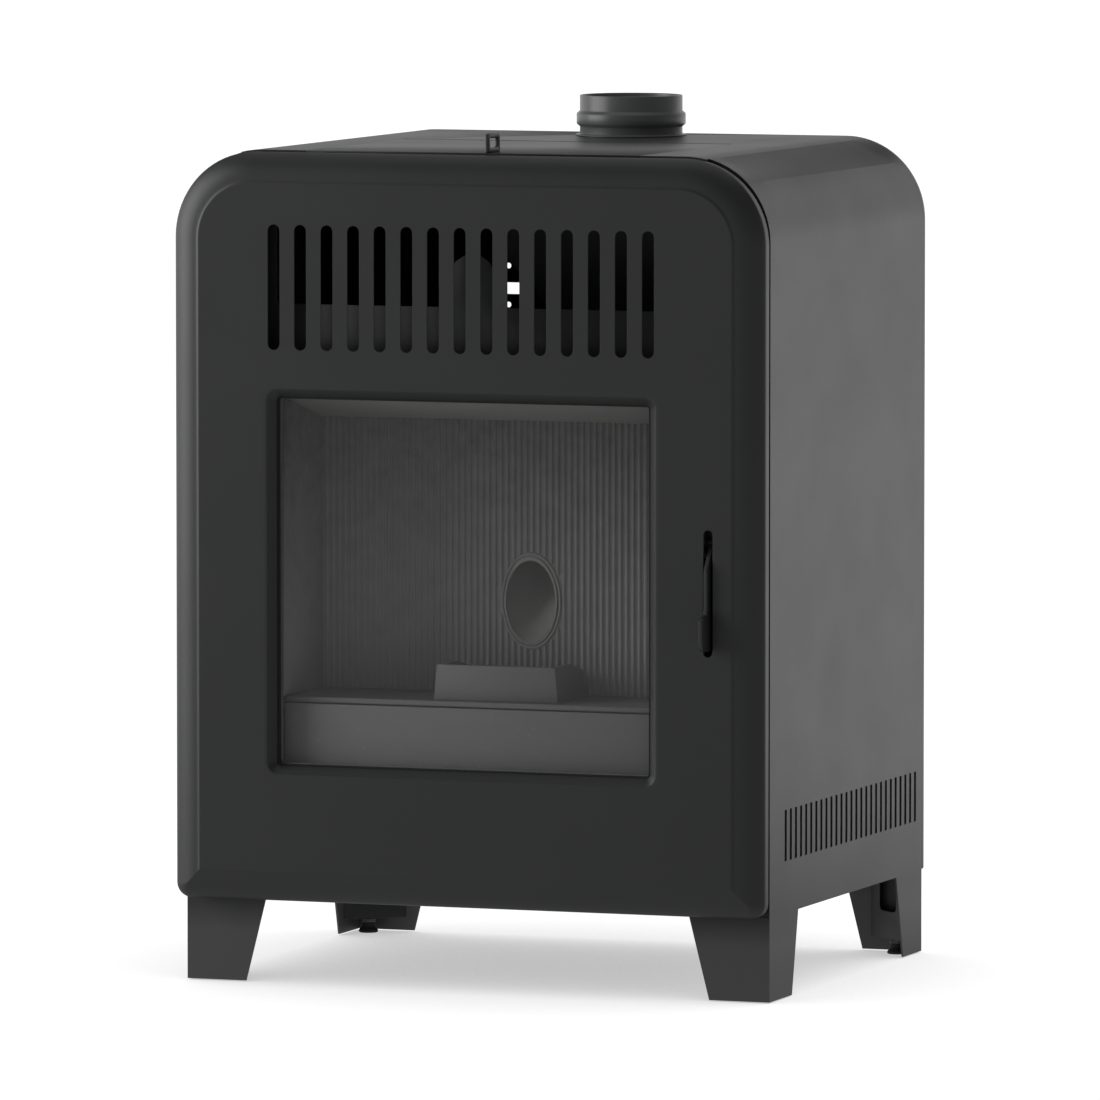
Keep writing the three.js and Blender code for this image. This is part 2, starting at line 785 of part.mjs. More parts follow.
const shellOutline = {
  left: -fireboxHalfWidth - liner - shellWall,
  right: fireboxHalfWidth + liner + shellWall,
  bottom: shellBottom,
  top: shellTop,
  topRadius: 2,
  bottomRadius: 2,
};

function doorRope() {
  const [front, back] = [innerFrameBack + tightGap * 2, shellFront - seatGap];
  const chamfer = 2;
  const [inner, outer] = [-1.5, -shellRim + 1.5];
  return framed(shellOutline, [
    [inner - chamfer, front], [outer + chamfer, front], [outer, front + chamfer], [outer, back - chamfer],
    [outer + chamfer, back], [inner - chamfer, back], [inner, back - chamfer], [inner, front + chamfer],
  ]);
}

function hingeBracket(bottom) {
  const lugTop = bottom + hingeLug;
  const earRadius = knuckleRadius;
  const plateBack = frameFront - tightGap;
  return joined(
    rodZ(earRadius, bottom, lugTop, hingeX, hingeY),
    box(hingeX + 1.2, hingeX + 12, hingeY - earRadius, plateBack, bottom, lugTop),
    box(hingeX + 1.9, hingeX + 30, plateBack - sheet, plateBack, bottom, lugTop + knuckleHeight),
    rodZ(hingePinRadius, bottom, lugTop + knuckleHeight, hingeX, hingeY),
  );
}

function leverOutline() {
  const front = plateauFront - 5.6;
  const tab = plateauFront - leverReach;
  const back = -4;
  return [
    [front, 341], [front, 309], [front - 1.5, 306.6], [tab + 3, 305.5], [tab, 302.5], [tab, 283.5],
    [tab + 2.6, 280], [tab + 8, 278.5], [back, 278.5], [back, 336], [leverPivotY + 6, 344], [17.5, 349], [17.5, 356.5],
    [leverPivotY + 4, 359], [leverPivotY - 4, 361], [leverPivotY - 8, 357], [plateauFront - 0.4, 349.5],
  ];
}

function doorHandle() {
  const [x0, x1] = [leverX - leverThickness / 2, leverX + leverThickness / 2];
  return without(
    alongX(leverOutline(), x0, x1),
    rodX(leverPinRadius + tightGap, x0 - 1, x1 + 1, leverPivotY, leverPivotZ),
  );
}

function latchKeeper() {
  const rollerRadius = 4;
  const rollerZ = 357.5 + rollerRadius;
  const rollerY = 14.5;
  const plateBack = frameFront - tightGap;
  const [x0, x1] = [leverX - 13.5, leverX + 13.5];
  const ear = 2.5;
  return joined(
    box(x0, x1, plateBack - sheet, plateBack, rollerZ - 8, rollerZ + 12),
    box(x0, x0 + ear, rollerY - 4.5, plateBack, rollerZ - 4.5, rollerZ + 4.5),
    box(x1 - ear, x1, rollerY - 4.5, plateBack, rollerZ - 4.5, rollerZ + 4.5),
    rodX(rollerRadius, x0, x1, rollerY, rollerZ),
  );
}

// ---- firebox ----
// A cylinder along the chute's slope, centred where the slope crosses the back plate's face.
function chuteCylinder(radius, from, to) {
  const geometry = new THREE.CylinderGeometry(radius, radius, to - from, 24);
  geometry.translate(0, (from + to) / 2, 0).rotateX(chuteAngle * degrees);
  return solid(geometry.translate(chuteX, backPlateFront, chuteZ));
}

const chuteHole = chuteCylinder(chuteRadius + runningGap, -60, 60);

function fireboxShell() {
  const inner = { ...shellOutline };
  const ends = [shellFront, shellBack];
  const rim = framed(shellOutline, [
    [-shellRim, shellFront], [-shellRim, shellFront + sheet], [shellWall - 1, shellFront + sheet],
    [shellWall - 1, shellFront],
  ]);
  const wallX = shellOutline.right;
  const ledges = [-1, 1].map((side) => {
    const [x0, x1] = [wallX - shellWall - 3.2, wallX - 1].map((x) => x * side).sort((a, b) => a - b);
    return box(x0, x1, shellFront + 4, shellBack - 1, shelfTop - shelfThickness - 5,
      shelfTop - shelfThickness - seatGap);
  });
  const stands = [-1, 1].map((side) => {
    const [x0, x1] = [wallX - shellWall, wallX].map((x) => x * side).sort((a, b) => a - b);
    return box(x0, x1, 30, shellBack, trayBottom + sheet + seatGap, shellBottom + 5);
  });
  return without(
    joined(
      without(
        joined(alongY(roundedOutline(shellOutline), ...ends), rim),
        alongY(roundedOutline(inner, shellWall), shellFront - 1, shellBack - shellWall),
      ),
      ...ledges,
      ...stands,
    ),
    chuteHole,
    rodY(5 + runningGap, shellBack - 10, shellBack + 10, feedX, igniterZ),
    rodY(smokeDuctRadius - 2, shellBack - 10, shellBack + 10, smokeFanX, smokeFanZ, 28),
    rodY(airPipeRadius - 2, shellBack - 10, shellBack + 10, airPipeX, airPipeZ, 28),
  );
}

const linerX = fireboxHalfWidth - seatGap;
const linerBack = shellBack - shellWall - seatGap;
const baffleBack = backPlateFront - seatGap * 2;
const igniterZ = 243;

function ribbedBackPlate() {
  const top = baffleBackZ + baffleThickness + 14;
  const bottom = shelfTop + seatGap;
  const ribs = [];
  const count = Math.floor((2 * linerX) / ribPitch);
  const first = -(count * ribPitch) / 2;
  for (let i = 0; i < count; i++) {
    const x = first + i * ribPitch;
    const crest = backPlateFront;
    const valley = backPlateFront + ribDepth;
    ribs.push([x + ribPitch * 0.3, crest], [x + ribPitch * 0.8, valley]);
  }
  const comb = [
    ...ribs, [linerX, backPlateFront], [linerX, linerBack], [-linerX, linerBack], [-linerX, backPlateFront],
  ];
  const plate = alongZ(comb, bottom, top);
  const boss = chuteCylinder(chuteRadius + 5, -60, 60).intersect(
    box(-linerX, linerX, backPlateFront, linerBack, bottom, top));
  return without(
    joined(plate, boss),
    chuteHole,
    rodY(5 + runningGap, backPlateFront - 5, linerBack + 5, feedX, igniterZ),
  );
}

function sidePlate(side) {
  const front = shellFront + 3;
  const [x0, x1] = [fireboxHalfWidth, fireboxHalfWidth + liner - seatGap];
  const slope = (baffleFrontZ - baffleBackZ) / (baffleBack - front);
  const top = (y) => baffleFrontZ - seatGap - slope * (y - front);
  const outline = [[front, shelfTop + seatGap], [linerBack, shelfTop + seatGap], [linerBack, top(linerBack)],
    [front, top(front)]];
  return side > 0 ? alongX(outline, x0, x1) : alongX(outline, -x1, -x0);
}

function baffle() {
  const front = shellFront + 3;
  return alongX([
    [front, baffleFrontZ], [baffleBack, baffleBackZ], [baffleBack, baffleBackZ + baffleThickness],
    [front, baffleFrontZ + baffleThickness],
  ], -linerX - liner + seatGap, linerX + liner - seatGap);
}

const potNeck = 10;            // how much narrower the pot is where it drops through the shelf

function potShelf() {
  const [x0, x1] = [feedX - potWidth / 2 + potNeck, feedX + potWidth / 2 - potNeck];
  return without(
    joined(
      box(-linerX, linerX, shellFront + 4, linerBack, shelfTop - shelfThickness, shelfTop),
      box(-linerX - liner + 2 * seatGap, linerX + liner - 2 * seatGap, shellFront + 4, linerBack,
        shelfTop - shelfThickness, shelfTop - 1),
    ),
    box(x0 - seatGap, x1 + seatGap, potFront + potNeck - seatGap, potBack - potNeck + seatGap, 0, shelfTop + 5),
  );
}

function burnPot() {
  const bottom = shelfTop - 20;
  const rest = shelfTop + seatGap;
  const [x0, x1] = [feedX - potWidth / 2, feedX + potWidth / 2];
  const draft = 2.5;
  const outer = joined(
    funnel([[x0, x1, potFront, potBack, rest], [x0 + draft, x1 - draft, potFront + 0.5, potBack - draft, potTop]]),
    box(x0 + potNeck, x1 - potNeck, potFront + potNeck, potBack - potNeck, bottom, rest + 2),
  );
  const inside = potNeck + potWall;
  const hollow = funnel([
    [x0 + inside, x1 - inside, potFront + inside, potBack - inside, bottom + potWall],
    [x0 + inside, x1 - inside, potFront + inside, potBack - inside, rest + 3],
    [x0 + potWall + draft, x1 - potWall - draft, potFront + potWall, potBack - potWall - draft, potTop + 1],
  ]);
  const holes = [];
  for (let i = -2; i <= 2; i++) {
    for (const j of [-0.5, 0.5]) {
      holes.push(rodZ(2, bottom - 1, bottom + potWall + 1, feedX + i * 12, (potFront + potBack) / 2 + j * 12, 6));
    }
  }
  const rearSlope = alongX([
    [(potFront + potBack) / 2, potTop + 1], [potBack + 1, potTop - 7], [potBack + 1, potTop + 1],
  ], x0 - 1, x1 + 1);
  return without(outer, hollow, rearSlope, ...holes);
}

function ashDrawer() {
  const bottom = shellBottom + shellWall + seatGap;
  const top = shelfTop - shelfThickness - 1;
  const side = fireboxHalfWidth - 0.5;
  const front = shellFront + 1.5;
  const back = 96;
  return without(
    joined(
      box(-side, side, front, back, bottom, top - 18),
      box(-side, side, front, front + 3, bottom, top),
    ),
    box(-side + sheet, side - sheet, front + 3, back - sheet, bottom + sheet, top + 5),
  );
}

function igniter() {
  const tip = potBack + 1.5;
  return joined(
    rodY(5, tip, 150, feedX, igniterZ),
    rodY(9, shellBack + seatGap, shellBack + 6, feedX, igniterZ),
  );
}

function airIntakePipe() {
  const ends = [shellBack + seatGap, rearCoverBack];
  return without(
    rodY(airPipeRadius, ...ends, airPipeX, airPipeZ, 32),
    rodY(airPipeRadius - 1.5, ends[0] - 1, ends[1] + 1, airPipeX, airPipeZ, 32),
  );
}

// Fins that stand on the shell and give their heat to the room air.
function heatExchanger() {
  const bottom = shellTop + seatGap;
  const base = 3;
  const finCount = 13;
  const reach = fireboxHalfWidth - 10.5;
  const finHeight = 52;
  const fins = Array.from({ length: finCount }, (_, i) => {
    const x = -reach + (2 * reach * i) / (finCount - 1);
    return box(x - 1.5, x + 1.5, 32, shellBack - 3, bottom, bottom + finHeight);
  });
  return joined(box(-reach - 2, reach + 2, 30, shellBack - 1, bottom, bottom + base), ...fins);
}

// ---- fuel feed ----
const throatLeft = augerRight - 86;
const throatRight = augerRight - 20;
const throatHalfDepth = 22;
const hopperFlangeZ = roofTop - 8;
const hopperBendZ = hopperFlangeZ - 75; // where the upright walls turn in towards the throat

function hopper() {
  const wall = sheet;
  const mouth = [roofOpening - 150, roofOpening - 6, 112, lidHingeY - 5];
  const throatTop = augerZ + augerRadius + 6;
  const throat = [throatLeft, throatRight, augerY - throatHalfDepth, augerY + throatHalfDepth];
  const grown = ([x0, x1, y0, y1], by) => [x0 - by, x1 + by, y0 - by, y1 + by];
  const outer = funnel([
    [...grown(throat, wall), augerZ], [...grown(throat, wall), throatTop], [...grown(mouth, wall), hopperBendZ],
    [...grown(mouth, wall), hopperFlangeZ + 1],
  ]);
  const inner = funnel([
    [...throat, augerZ - 1], [...throat, throatTop], [...mouth, hopperBendZ], [...mouth, hopperFlangeZ + 1.01],
  ]);
  const flange = box(2 - roofOpening, roofOpening - 2, frameFront + 4, lidHingeY - 3,
    hopperFlangeZ, hopperFlangeZ + sheet);
  return without(
    joined(outer, flange),
    inner,
    box(...mouth, hopperFlangeZ, hopperFlangeZ + 5),
    rodX(augerRadius + seatGap, -100, 200, augerY, augerZ, 28),
  );
}

function augerTube() {
  const bore = augerRadius - augerWall;
  const outlet = chuteRadius - chuteWall;
  return without(
    joined(
      rodX(augerRadius, augerLeft, augerRight, augerY, augerZ, 28),
      box(augerRight - 3, augerRight, augerY - 36, augerY + 36, augerZ - 36, augerZ + 36),
    ),
    rodX(bore, augerLeft + 3, augerRight + 1, augerY, augerZ, 28),
    rodX(augerShaftRadius + runningGap, augerLeft - 1, augerLeft + 5, augerY, augerZ),
    box(throatLeft, throatRight, augerY - throatHalfDepth, augerY + throatHalfDepth, augerZ, augerZ + 50),
    box(chuteX - outlet, chuteX + outlet, augerY - outlet, augerY + outlet, augerZ - 50, augerZ),
  );
}

// A flight of constant pitch on a shaft.
function augerScrew() {
  const start = augerLeft + 6;
  const end = augerRight - 6;
  const thickness = 3;
  const root = augerShaftRadius - 1;
  const turns = (end - start - thickness) / flightPitch;
  const steps = Math.ceil(turns * 10);
  const position = [];
  const index = [];
  for (let i = 0; i <= steps; i++) {
    const angle = (turns * 2 * Math.PI * i) / steps;
    const x = start + (turns * flightPitch * i) / steps;
    for (const [radius, dx] of [[root, 0], [flightRadius, 0], [flightRadius, thickness], [root, thickness]]) {
      position.push(x + dx, augerY + radius * Math.cos(angle), augerZ + radius * Math.sin(angle));
    }
  }
  for (let i = 0; i < steps; i++) {
    for (let k = 0; k < 4; k++) {
      const [a, b] = [4 * i + k, 4 * i + ((k + 1) % 4)];
      index.push(a, b, b + 4, a, b + 4, a + 4);
    }
  }
  const last = 4 * steps;
  index.push(0, 2, 1, 0, 3, 2, last, last + 1, last + 2, last, last + 2, last + 3);
  const flight = new THREE.BufferGeometry();
  flight.setAttribute('position', new THREE.Float32BufferAttribute(position, 3));
  flight.setIndex(index);
  return joined(solid(flight), rodX(augerShaftRadius, augerLeft + 1, augerRight + 10, augerY, augerZ, 12));
}

function augerGearmotor() {
  const start = augerRight + tightGap;
  return without(
    joined(
      box(start, start + 34, augerY - 34, augerY + 34, augerZ - 34, augerZ + 34),
      rodX(27, start + 30, start + 72, augerY, augerZ, 20),
      box(start + 34, start + 62, augerY - 30, augerY + 12, augerZ - 38, augerZ - 18),
    ),
    rodX(augerShaftRadius + runningGap, start - 1, start + 14, augerY, augerZ),
  );
}

function pelletChute() {
  const outer = chuteCylinder(chuteRadius, -20, 190);
  const inner = chuteCylinder(chuteRadius - chuteWall, -40, 210);
  const reach = box(-40, 80, backPlateFront - 0.5, 260, 200, augerZ - 12);
  return without(outer.intersect(reach), inner, rodX(augerRadius + seatGap, -100, 200, augerY, augerZ, 28));
}

// ---- smoke path ----
function smokeDuct() {
  const ends = [shellBack + seatGap, smokeFanFront - seatGap];
  return without(
    rodY(smokeDuctRadius, ...ends, smokeFanX, smokeFanZ, 28),
    rodY(smokeDuctRadius - 2, ends[0] - 1, ends[1] + 1, smokeFanX, smokeFanZ, 28),
  );
}

const fluePipeBottom = 236;

function exhaustHousing() {
  const wall = 2.5;
  const spoutBottom = smokeFanZ + smokeDuctRadius + 4;
  const spoutTop = fluePipeBottom + 26;
  return without(
    joined(
      rodY(smokeFanRadius, smokeFanFront, smokeFanBack, smokeFanX, smokeFanZ, 28),
      rodZ(fluePipeRadius + seatGap + wall, spoutBottom, spoutTop, flueX, flueY, 28),
      box(smokeFanX - 30, smokeFanX + 30, smokeFanFront, smokeFanBack, trayBottom + sheet + seatGap, smokeFanZ - 50),
    ),
    rodY(smokeFanRadius - wall, smokeFanFront + wall, smokeFanBack - wall, smokeFanX, smokeFanZ, 28),
    rodZ(fluePipeRadius + seatGap, spoutBottom + wall, spoutTop + 1, flueX, flueY, 28),
    rodY(smokeDuctRadius - 2, smokeFanFront - 1, smokeFanFront + wall + 1, smokeFanX, smokeFanZ, 28),
    rodY(5, smokeFanBack - 10, smokeFanBack + 1, smokeFanX, smokeFanZ),
  );
}

function exhaustImpeller() {
  const [front, back] = [330, 364];
  const radius = 50;
  const blades = Array.from({ length: 8 }, (_, i) => {
    const geometry = new THREE.BoxGeometry(radius - 14, back - front - 2, 2.5);
    geometry.translate((radius + 14) / 2 - 1, (front + back) / 2, 0).rotateY((i * Math.PI) / 4);
    return solid(geometry.translate(smokeFanX, 0, smokeFanZ));
  });
  return joined(
    rodY(radius, back - 3, back, smokeFanX, smokeFanZ, 28),
    rodY(16, front + 4, back, smokeFanX, smokeFanZ),
    rodY(4, back - 1, smokeFanBack + 8, smokeFanX, smokeFanZ),
    ...blades,
  );
}

function exhaustMotor() {
  const start = smokeFanBack + seatGap;
  return without(
    rodY(32, start, start + 22, smokeFanX, smokeFanZ, 24),
    rodY(4 + runningGap, start - 1, start + 9, smokeFanX, smokeFanZ),
  );
}

function fluePipe() {
  const top = roofTop + 2;
  return turned([
    [fluePipeRadius - flueWall, fluePipeBottom], [fluePipeRadius, fluePipeBottom],
    [fluePipeRadius, top], [fluePipeRadius - flueWall, top],
  ], flueX, flueY, 28);
}

// Socket with a bead that holds the pipe's seal; its flange lies on the rear top cover.
function flueCollar() {
  const bore = fluePipeRadius + seatGap;
  const seat = flueSocketRadius;
  const bead = flueBeadRadius;
  const flangeBottom = roofTop + tightGap;
  return turned([
    [bore, roofTop - 22], [seat, roofTop - 22], [seat, flangeBottom], [flueFlangeRadius, flangeBottom],
    [flueFlangeRadius, flangeBottom + sheet], [seat, flangeBottom + sheet], [seat, flueBeadBottom],
    [bead, flueBeadBottom + 2.5], [bead, flueBeadBottom + 9.5], [seat, flueBeadBottom + 12], [seat, flueTop],
    [bore, flueTop],
  ], flueX, flueY, 28);
}

// ---- room air ----
function roomFanHousing() {
  const cavity = drumRadius + 3;
  const [y0, y1] = [drumY - 35, drumY + 35];
  const bottom = trayBottom + sheet + seatGap;
  return without(
    box(drumLeft, drumRight, y0, y1, bottom, drumZ + 34),
    rodX(cavity, drumLeft + 3, drumRight - 3, drumY, drumZ, 28),
    box(drumLeft + 3, drumRight - 3, drumY + 4, y1 - 4, drumZ, drumZ + 40),
    box(drumLeft + 20, drumRight - 20, drumY - 22, drumY + 22, bottom - 1, drumZ),
    rodX(4 + runningGap, drumLeft - 1, drumRight + 1, drumY, drumZ),
  );
}

function roomFanDrum() {
  const [x0, x1] = [drumLeft + 4, drumRight - 4];
  const bladeCount = 10;
  const blades = Array.from({ length: bladeCount }, (_, i) => {
    const geometry = new THREE.BoxGeometry(x1 - x0, 8, 1.2);
    geometry.rotateX(0.5).translate(0, drumRadius - 4.5, 0).rotateX((i * 2 * Math.PI) / bladeCount);
    return solid(geometry.translate((x0 + x1) / 2, drumY, drumZ));
  });
  return joined(
    rodX(drumRadius, x0, x0 + 2, drumY, drumZ, 28),
    rodX(drumRadius, x1 - 2, x1, drumY, drumZ, 28),
    rodX(4, drumLeft + 0.5, drumRight + 10, drumY, drumZ),
    ...blades,
  );
}

function roomFanMotor() {
  const start = drumRight + seatGap;
  return without(
    joined(
      rodX(27, start, start + 40, drumY, drumZ, 20),
      box(start, start + 40, drumY - 14, drumY + 14, trayBottom + sheet + seatGap, drumZ - 15),
    ),
    rodX(4 + runningGap, start - 1, start + 12, drumY, drumZ),
  );
}

// ---- electrics ----
const inletLeft = halfBody - 59;
const inletRight = halfBody - 23;
const inletBottom = 86;
const inletTop = 150;
const rockerZ = 132;
const rockerHalf = 9.5;
const rockerPivotY = 397;
const rockerWidth = 17;
const inletMiddle = (inletLeft + inletRight) / 2;

function mainsInlet() {
  const back = rearCoverBack - 0.4;
  const half = rockerWidth / 2 + runningGap;
  return without(
    joined(
      box(inletLeft, inletRight, 384, back, inletBottom, inletTop),
      box(inletLeft + 8, inletRight - 8, 378, 385, inletBottom + 8, inletTop - 8),
    ),
    box(inletMiddle - 10, inletMiddle + 10, 392, back + 1, inletBottom + 6, inletBottom + 22),
    box(inletMiddle - half, inletMiddle + half, 392, back + 1, rockerZ - rockerHalf - 1.5,
      rockerZ + rockerHalf + 1.5),
  );
}

// Stored tipped to one side, about a pivot inside the inlet.
function rockerSwitch() {
  const half = rockerWidth / 2;
  const tip = 6 * degrees;
  const level = [[-3, -5], [4, -rockerHalf], [8.4, -rockerHalf], [7.2, 0], [8.4, rockerHalf], [4, rockerHalf], [-3, 5]];
  const outline = level.map(([y, z]) => [
    rockerPivotY + y * Math.cos(tip) - z * Math.sin(tip),
    rockerZ + y * Math.sin(tip) + z * Math.cos(tip),
  ]);
  return alongX(outline, inletMiddle - half, inletMiddle + half);
}

function controlBoard() {
  const [x0, x1] = [insideWall - 11.2, insideWall - 9.6];
  const [y0, y1, z0, z1] = [262, 372, 320, 450];
  const posts = [[y0 + 6, z0 + 6], [y1 - 6, z0 + 6], [y0 + 6, z1 - 6], [y1 - 6, z1 - 6]];
  return joined(
    box(x0, x1, y0, y1, z0, z1),
    ...posts.map(([y, z]) => rodX(3, x1 - 0.5, insideWall, y, z, 8)),
    box(x0 - 18, x0 + 0.5, y0 + 12, y0 + 44, z0 + 14, z0 + 44),
    box(x0 - 12, x0 + 0.5, y0 + 56, y0 + 96, z0 + 14, z0 + 32),
    rodX(8, x0 - 20, x0 + 0.5, y0 + 30, z0 + 70),
    rodX(8, x0 - 20, x0 + 0.5, y0 + 54, z0 + 70),
    box(x0 - 6, x0 + 0.5, y0 + 14, y0 + 96, z1 - 30, z1 - 18),
  );
}

function pressureSwitch() {
  const [switchY, switchZ] = [330, 262];
  return joined(
    rodX(17, insideWall - 17, insideWall, switchY, switchZ, 20),
    rodX(10, insideWall - 25, insideWall - 16.5, switchY, switchZ),
    rodX(2.5, insideWall - 35, insideWall - 24, switchY - 4, switchZ + 4, 8),
  );
}

// ---- assembly ----
place(casing, 'right_side_panel', sidePanel(1), paint);
place(casing, 'left_side_panel', sidePanel(-1), paint);
place(casing, 'front_frame', frontFrame(), paint);
place(casing, 'air_guide_plate', airGuidePlate(), zincSteel);
place(casing, 'base_tray', baseTray(), zincSteel);
place(casing, 'rear_cover', rearCover(), paint);
place(casing, 'rear_top_cover', rearTopCover(), paint);
place(casing, 'hopper_lid', hopperLid(), paint);
place(casing, 'lid_pull', lidPull(), paint);
place(casing, 'lid_hinge_pin', rodX(lidPinRadius, 1 - lidKnuckleEnd, lidKnuckleEnd - 1, lidHingeY, lidAxisZ, 12), zincSteel);
for (const [sideName, side] of [['left', -1], ['right', 1]]) {
  place(casing, `front_${sideName}_leg_bracket`, legBracket(side, true), paint);
  place(casing, `rear_${sideName}_leg_bracket`, legBracket(side, false), paint);
  place(casing, `front_${sideName}_foot`, foot(side, true), blackPlastic);
  place(casing, `rear_${sideName}_foot`, foot(side, false), blackPlastic);
}

place(frontDoor, 'door_panel', doorPanel(), paint);
place(frontDoor, 'door_inner_frame', doorInnerFrame(), zincSteel);
place(frontDoor, 'door_glass', doorGlass(), glassTint);
place(frontDoor, 'glass_seal', glassSeal(), ropeGrey);
place(frontDoor, 'door_rope_seal', doorRope(), ropeGrey);
place(frontDoor, 'door_handle', doorHandle(), paint);
place(frontDoor, 'handle_pivot_pin', rodX(leverPinRadius, leverX - 12, leverX + 12, leverPivotY, leverPivotZ), zincSteel);
place(casing, 'upper_hinge_bracket', hingeBracket(upperHingeBottom), zincSteel);
place(casing, 'lower_hinge_bracket', hingeBracket(lowerHingeBottom), zincSteel);
place(casing, 'latch_keeper', latchKeeper(), zincSteel);

place(firebox, 'firebox_shell', fireboxShell(), castIron);
place(firebox, 'ribbed_back_plate', ribbedBackPlate(), castIron);
place(firebox, 'left_side_plate', sidePlate(-1), castIron);
place(firebox, 'right_side_plate', sidePlate(1), castIron);
place(firebox, 'baffle_plate', baffle(), castIron);
place(firebox, 'pot_shelf', potShelf(), castIron);
place(firebox, 'burn_pot', burnPot(), castIron);
place(firebox, 'ash_drawer', ashDrawer(), castIron);
place(firebox, 'igniter', igniter(), zincSteel);
place(firebox, 'heat_exchanger', heatExchanger(), castIron);
place(firebox, 'air_intake_pipe', airIntakePipe(), zincSteel);

place(fuelFeed, 'hopper', hopper(), zincSteel);
place(fuelFeed, 'auger_tube', augerTube(), castIron);
place(fuelFeed, 'auger_screw', augerScrew(), zincSteel);
place(fuelFeed, 'auger_gearmotor', augerGearmotor(), blackPlastic);
place(fuelFeed, 'pellet_chute', pelletChute(), castIron);

place(smokePath, 'smoke_duct', smokeDuct(), castIron);
place(smokePath, 'exhaust_fan_housing', exhaustHousing(), castIron);
place(smokePath, 'exhaust_impeller', exhaustImpeller(), zincSteel);
place(smokePath, 'exhaust_motor', exhaustMotor(), blackPlastic);
place(smokePath, 'flue_pipe', fluePipe(), zincSteel);
place(smokePath, 'flue_collar', flueCollar(), paint);

place(roomAir, 'room_fan_housing', roomFanHousing(), zincSteel);
place(roomAir, 'room_fan_drum', roomFanDrum(), zincSteel);
place(roomAir, 'room_fan_motor', roomFanMotor(), blackPlastic);

place(electrics, 'control_board', controlBoard(), greenBoard);
place(electrics, 'mains_inlet', mainsInlet(), blackPlastic);
place(electrics, 'rocker_switch', rockerSwitch(), blackPlastic);
place(electrics, 'pressure_switch', pressureSwitch(), blackPlastic);

const stove = new THREE.Group();
stove.add(casing, frontDoor, firebox, fuelFeed, smokePath, roomAir, electrics);
stove.position.y = -(plateauFront - leverReach + rearCoverBack) / 2;
export default stove;
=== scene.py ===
import json
import math

import bmesh
import bpy
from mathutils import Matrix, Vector


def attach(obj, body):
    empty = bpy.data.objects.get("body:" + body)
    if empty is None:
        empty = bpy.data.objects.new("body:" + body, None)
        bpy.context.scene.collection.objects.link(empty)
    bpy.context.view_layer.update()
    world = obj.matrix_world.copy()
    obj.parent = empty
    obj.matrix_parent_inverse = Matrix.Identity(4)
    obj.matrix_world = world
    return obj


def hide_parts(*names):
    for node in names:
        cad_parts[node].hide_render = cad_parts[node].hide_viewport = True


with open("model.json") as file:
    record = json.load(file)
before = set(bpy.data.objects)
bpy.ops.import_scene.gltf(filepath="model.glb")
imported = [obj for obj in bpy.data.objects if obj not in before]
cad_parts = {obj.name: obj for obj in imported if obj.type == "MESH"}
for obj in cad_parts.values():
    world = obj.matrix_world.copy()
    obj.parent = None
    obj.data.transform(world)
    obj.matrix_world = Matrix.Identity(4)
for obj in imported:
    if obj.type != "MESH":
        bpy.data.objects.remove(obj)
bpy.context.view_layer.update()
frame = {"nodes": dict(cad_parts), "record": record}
nodes = frame["nodes"]
scene = bpy.context.scene
print("frame loaded:", len(nodes), "nodes")

mm = 0.001
rimY = -0.1892  # y of the door's rim in the shared frame; sizes below are mm from there


def point(x, y, z):
    return Vector((x * mm, y * mm + rimY, z * mm))


cameraSpot = {
    "place": (3192.8, -8601.3, 1080.2),  # mm
    "azimuth": 19.96,  # degrees to the right of straight ahead
    "tilt": 4.543,  # degrees downwards
    "lens": 383.2,  # mm on a 36 mm sensor
}


def makeCamera(spot):
    data = bpy.data.cameras.new("stoveCamera")
    data.sensor_width = 36
    data.lens = spot["lens"]
    data.clip_end = 200
    camera = bpy.data.objects.new("stoveCamera", data)
    scene.collection.objects.link(camera)
    camera.location = point(*spot["place"])
    camera.rotation_euler = (math.radians(90 - spot["tilt"]), 0, math.radians(spot["azimuth"]))
    scene.camera = camera


def hexColor(text):
    def linear(value):
        return value / 12.92 if value <= 0.04045 else ((value + 0.055) / 1.055) ** 2.4

    channels = [int(text[i:i + 2], 16) / 255 for i in (0, 2, 4)]
    return [linear(value) for value in channels] + [1.0]


def addNode(tree, kind, settings=None, inputs=None, links=None):
    node = tree.nodes.new(kind)
    for name, value in (settings or {}).items():
        setattr(node, name, value)
    for name, value in (inputs or {}).items():
        node.inputs[name].default_value = value
    for name, socket in (links or {}).items():
        tree.links.new(socket, node.inputs[name])
    return node


smoothStep = {"interpolation_type": "SMOOTHSTEP"}
multiplyAdd = {"operation": "MULTIPLY_ADD"}
colorMix = {"data_type": "RGBA"}


# A pale room that is bright low down behind and to the left, and dark overhead and in front.
studio = {
    "roomLow": 0.235, "roomBright": 1.2, "cameraWhite": 1.2,  # the last is what the camera sees behind the stove
    "leftLean": -0.5,  # how far the bright side lies to the left
    "backFrom": 0.1, "backTo": 0.75,  # how the brightness turns from front right to back left
    "skyFrom": 0.16, "skyTo": 0.44, "skyLean": -0.8,  # height over which the back goes dark, higher on the right
    "zenith": (0.30, 0.90, 0.12),  # height over which the whole room goes dark, and how dark
    "fill": {"place": (-2350, -1150, 900), "size": (2000, 2200), "watts": 50},  # soft box, left and a little in front
    "top": {"place": (0, 200, 2600), "size": (2600, 2600), "watts": 14},
    "aim": (0, 0, 0.33),  # m, the middle of the stove
    "floorReach": 120,  # m
    "floorShade": (0.48, 1.1),  # in the stove's shadow and in the open, as the camera sees the floor
    "shelter": (0.45, 0.85),  # m within which the stove shades the floor, and the share that counts as open
    "floorGlow": (0.43, 1.25),  # what the floor gives back to the stove in front and behind
    "glowTurn": (0.1, 1.5),  # m behind the middle over which that changes
}


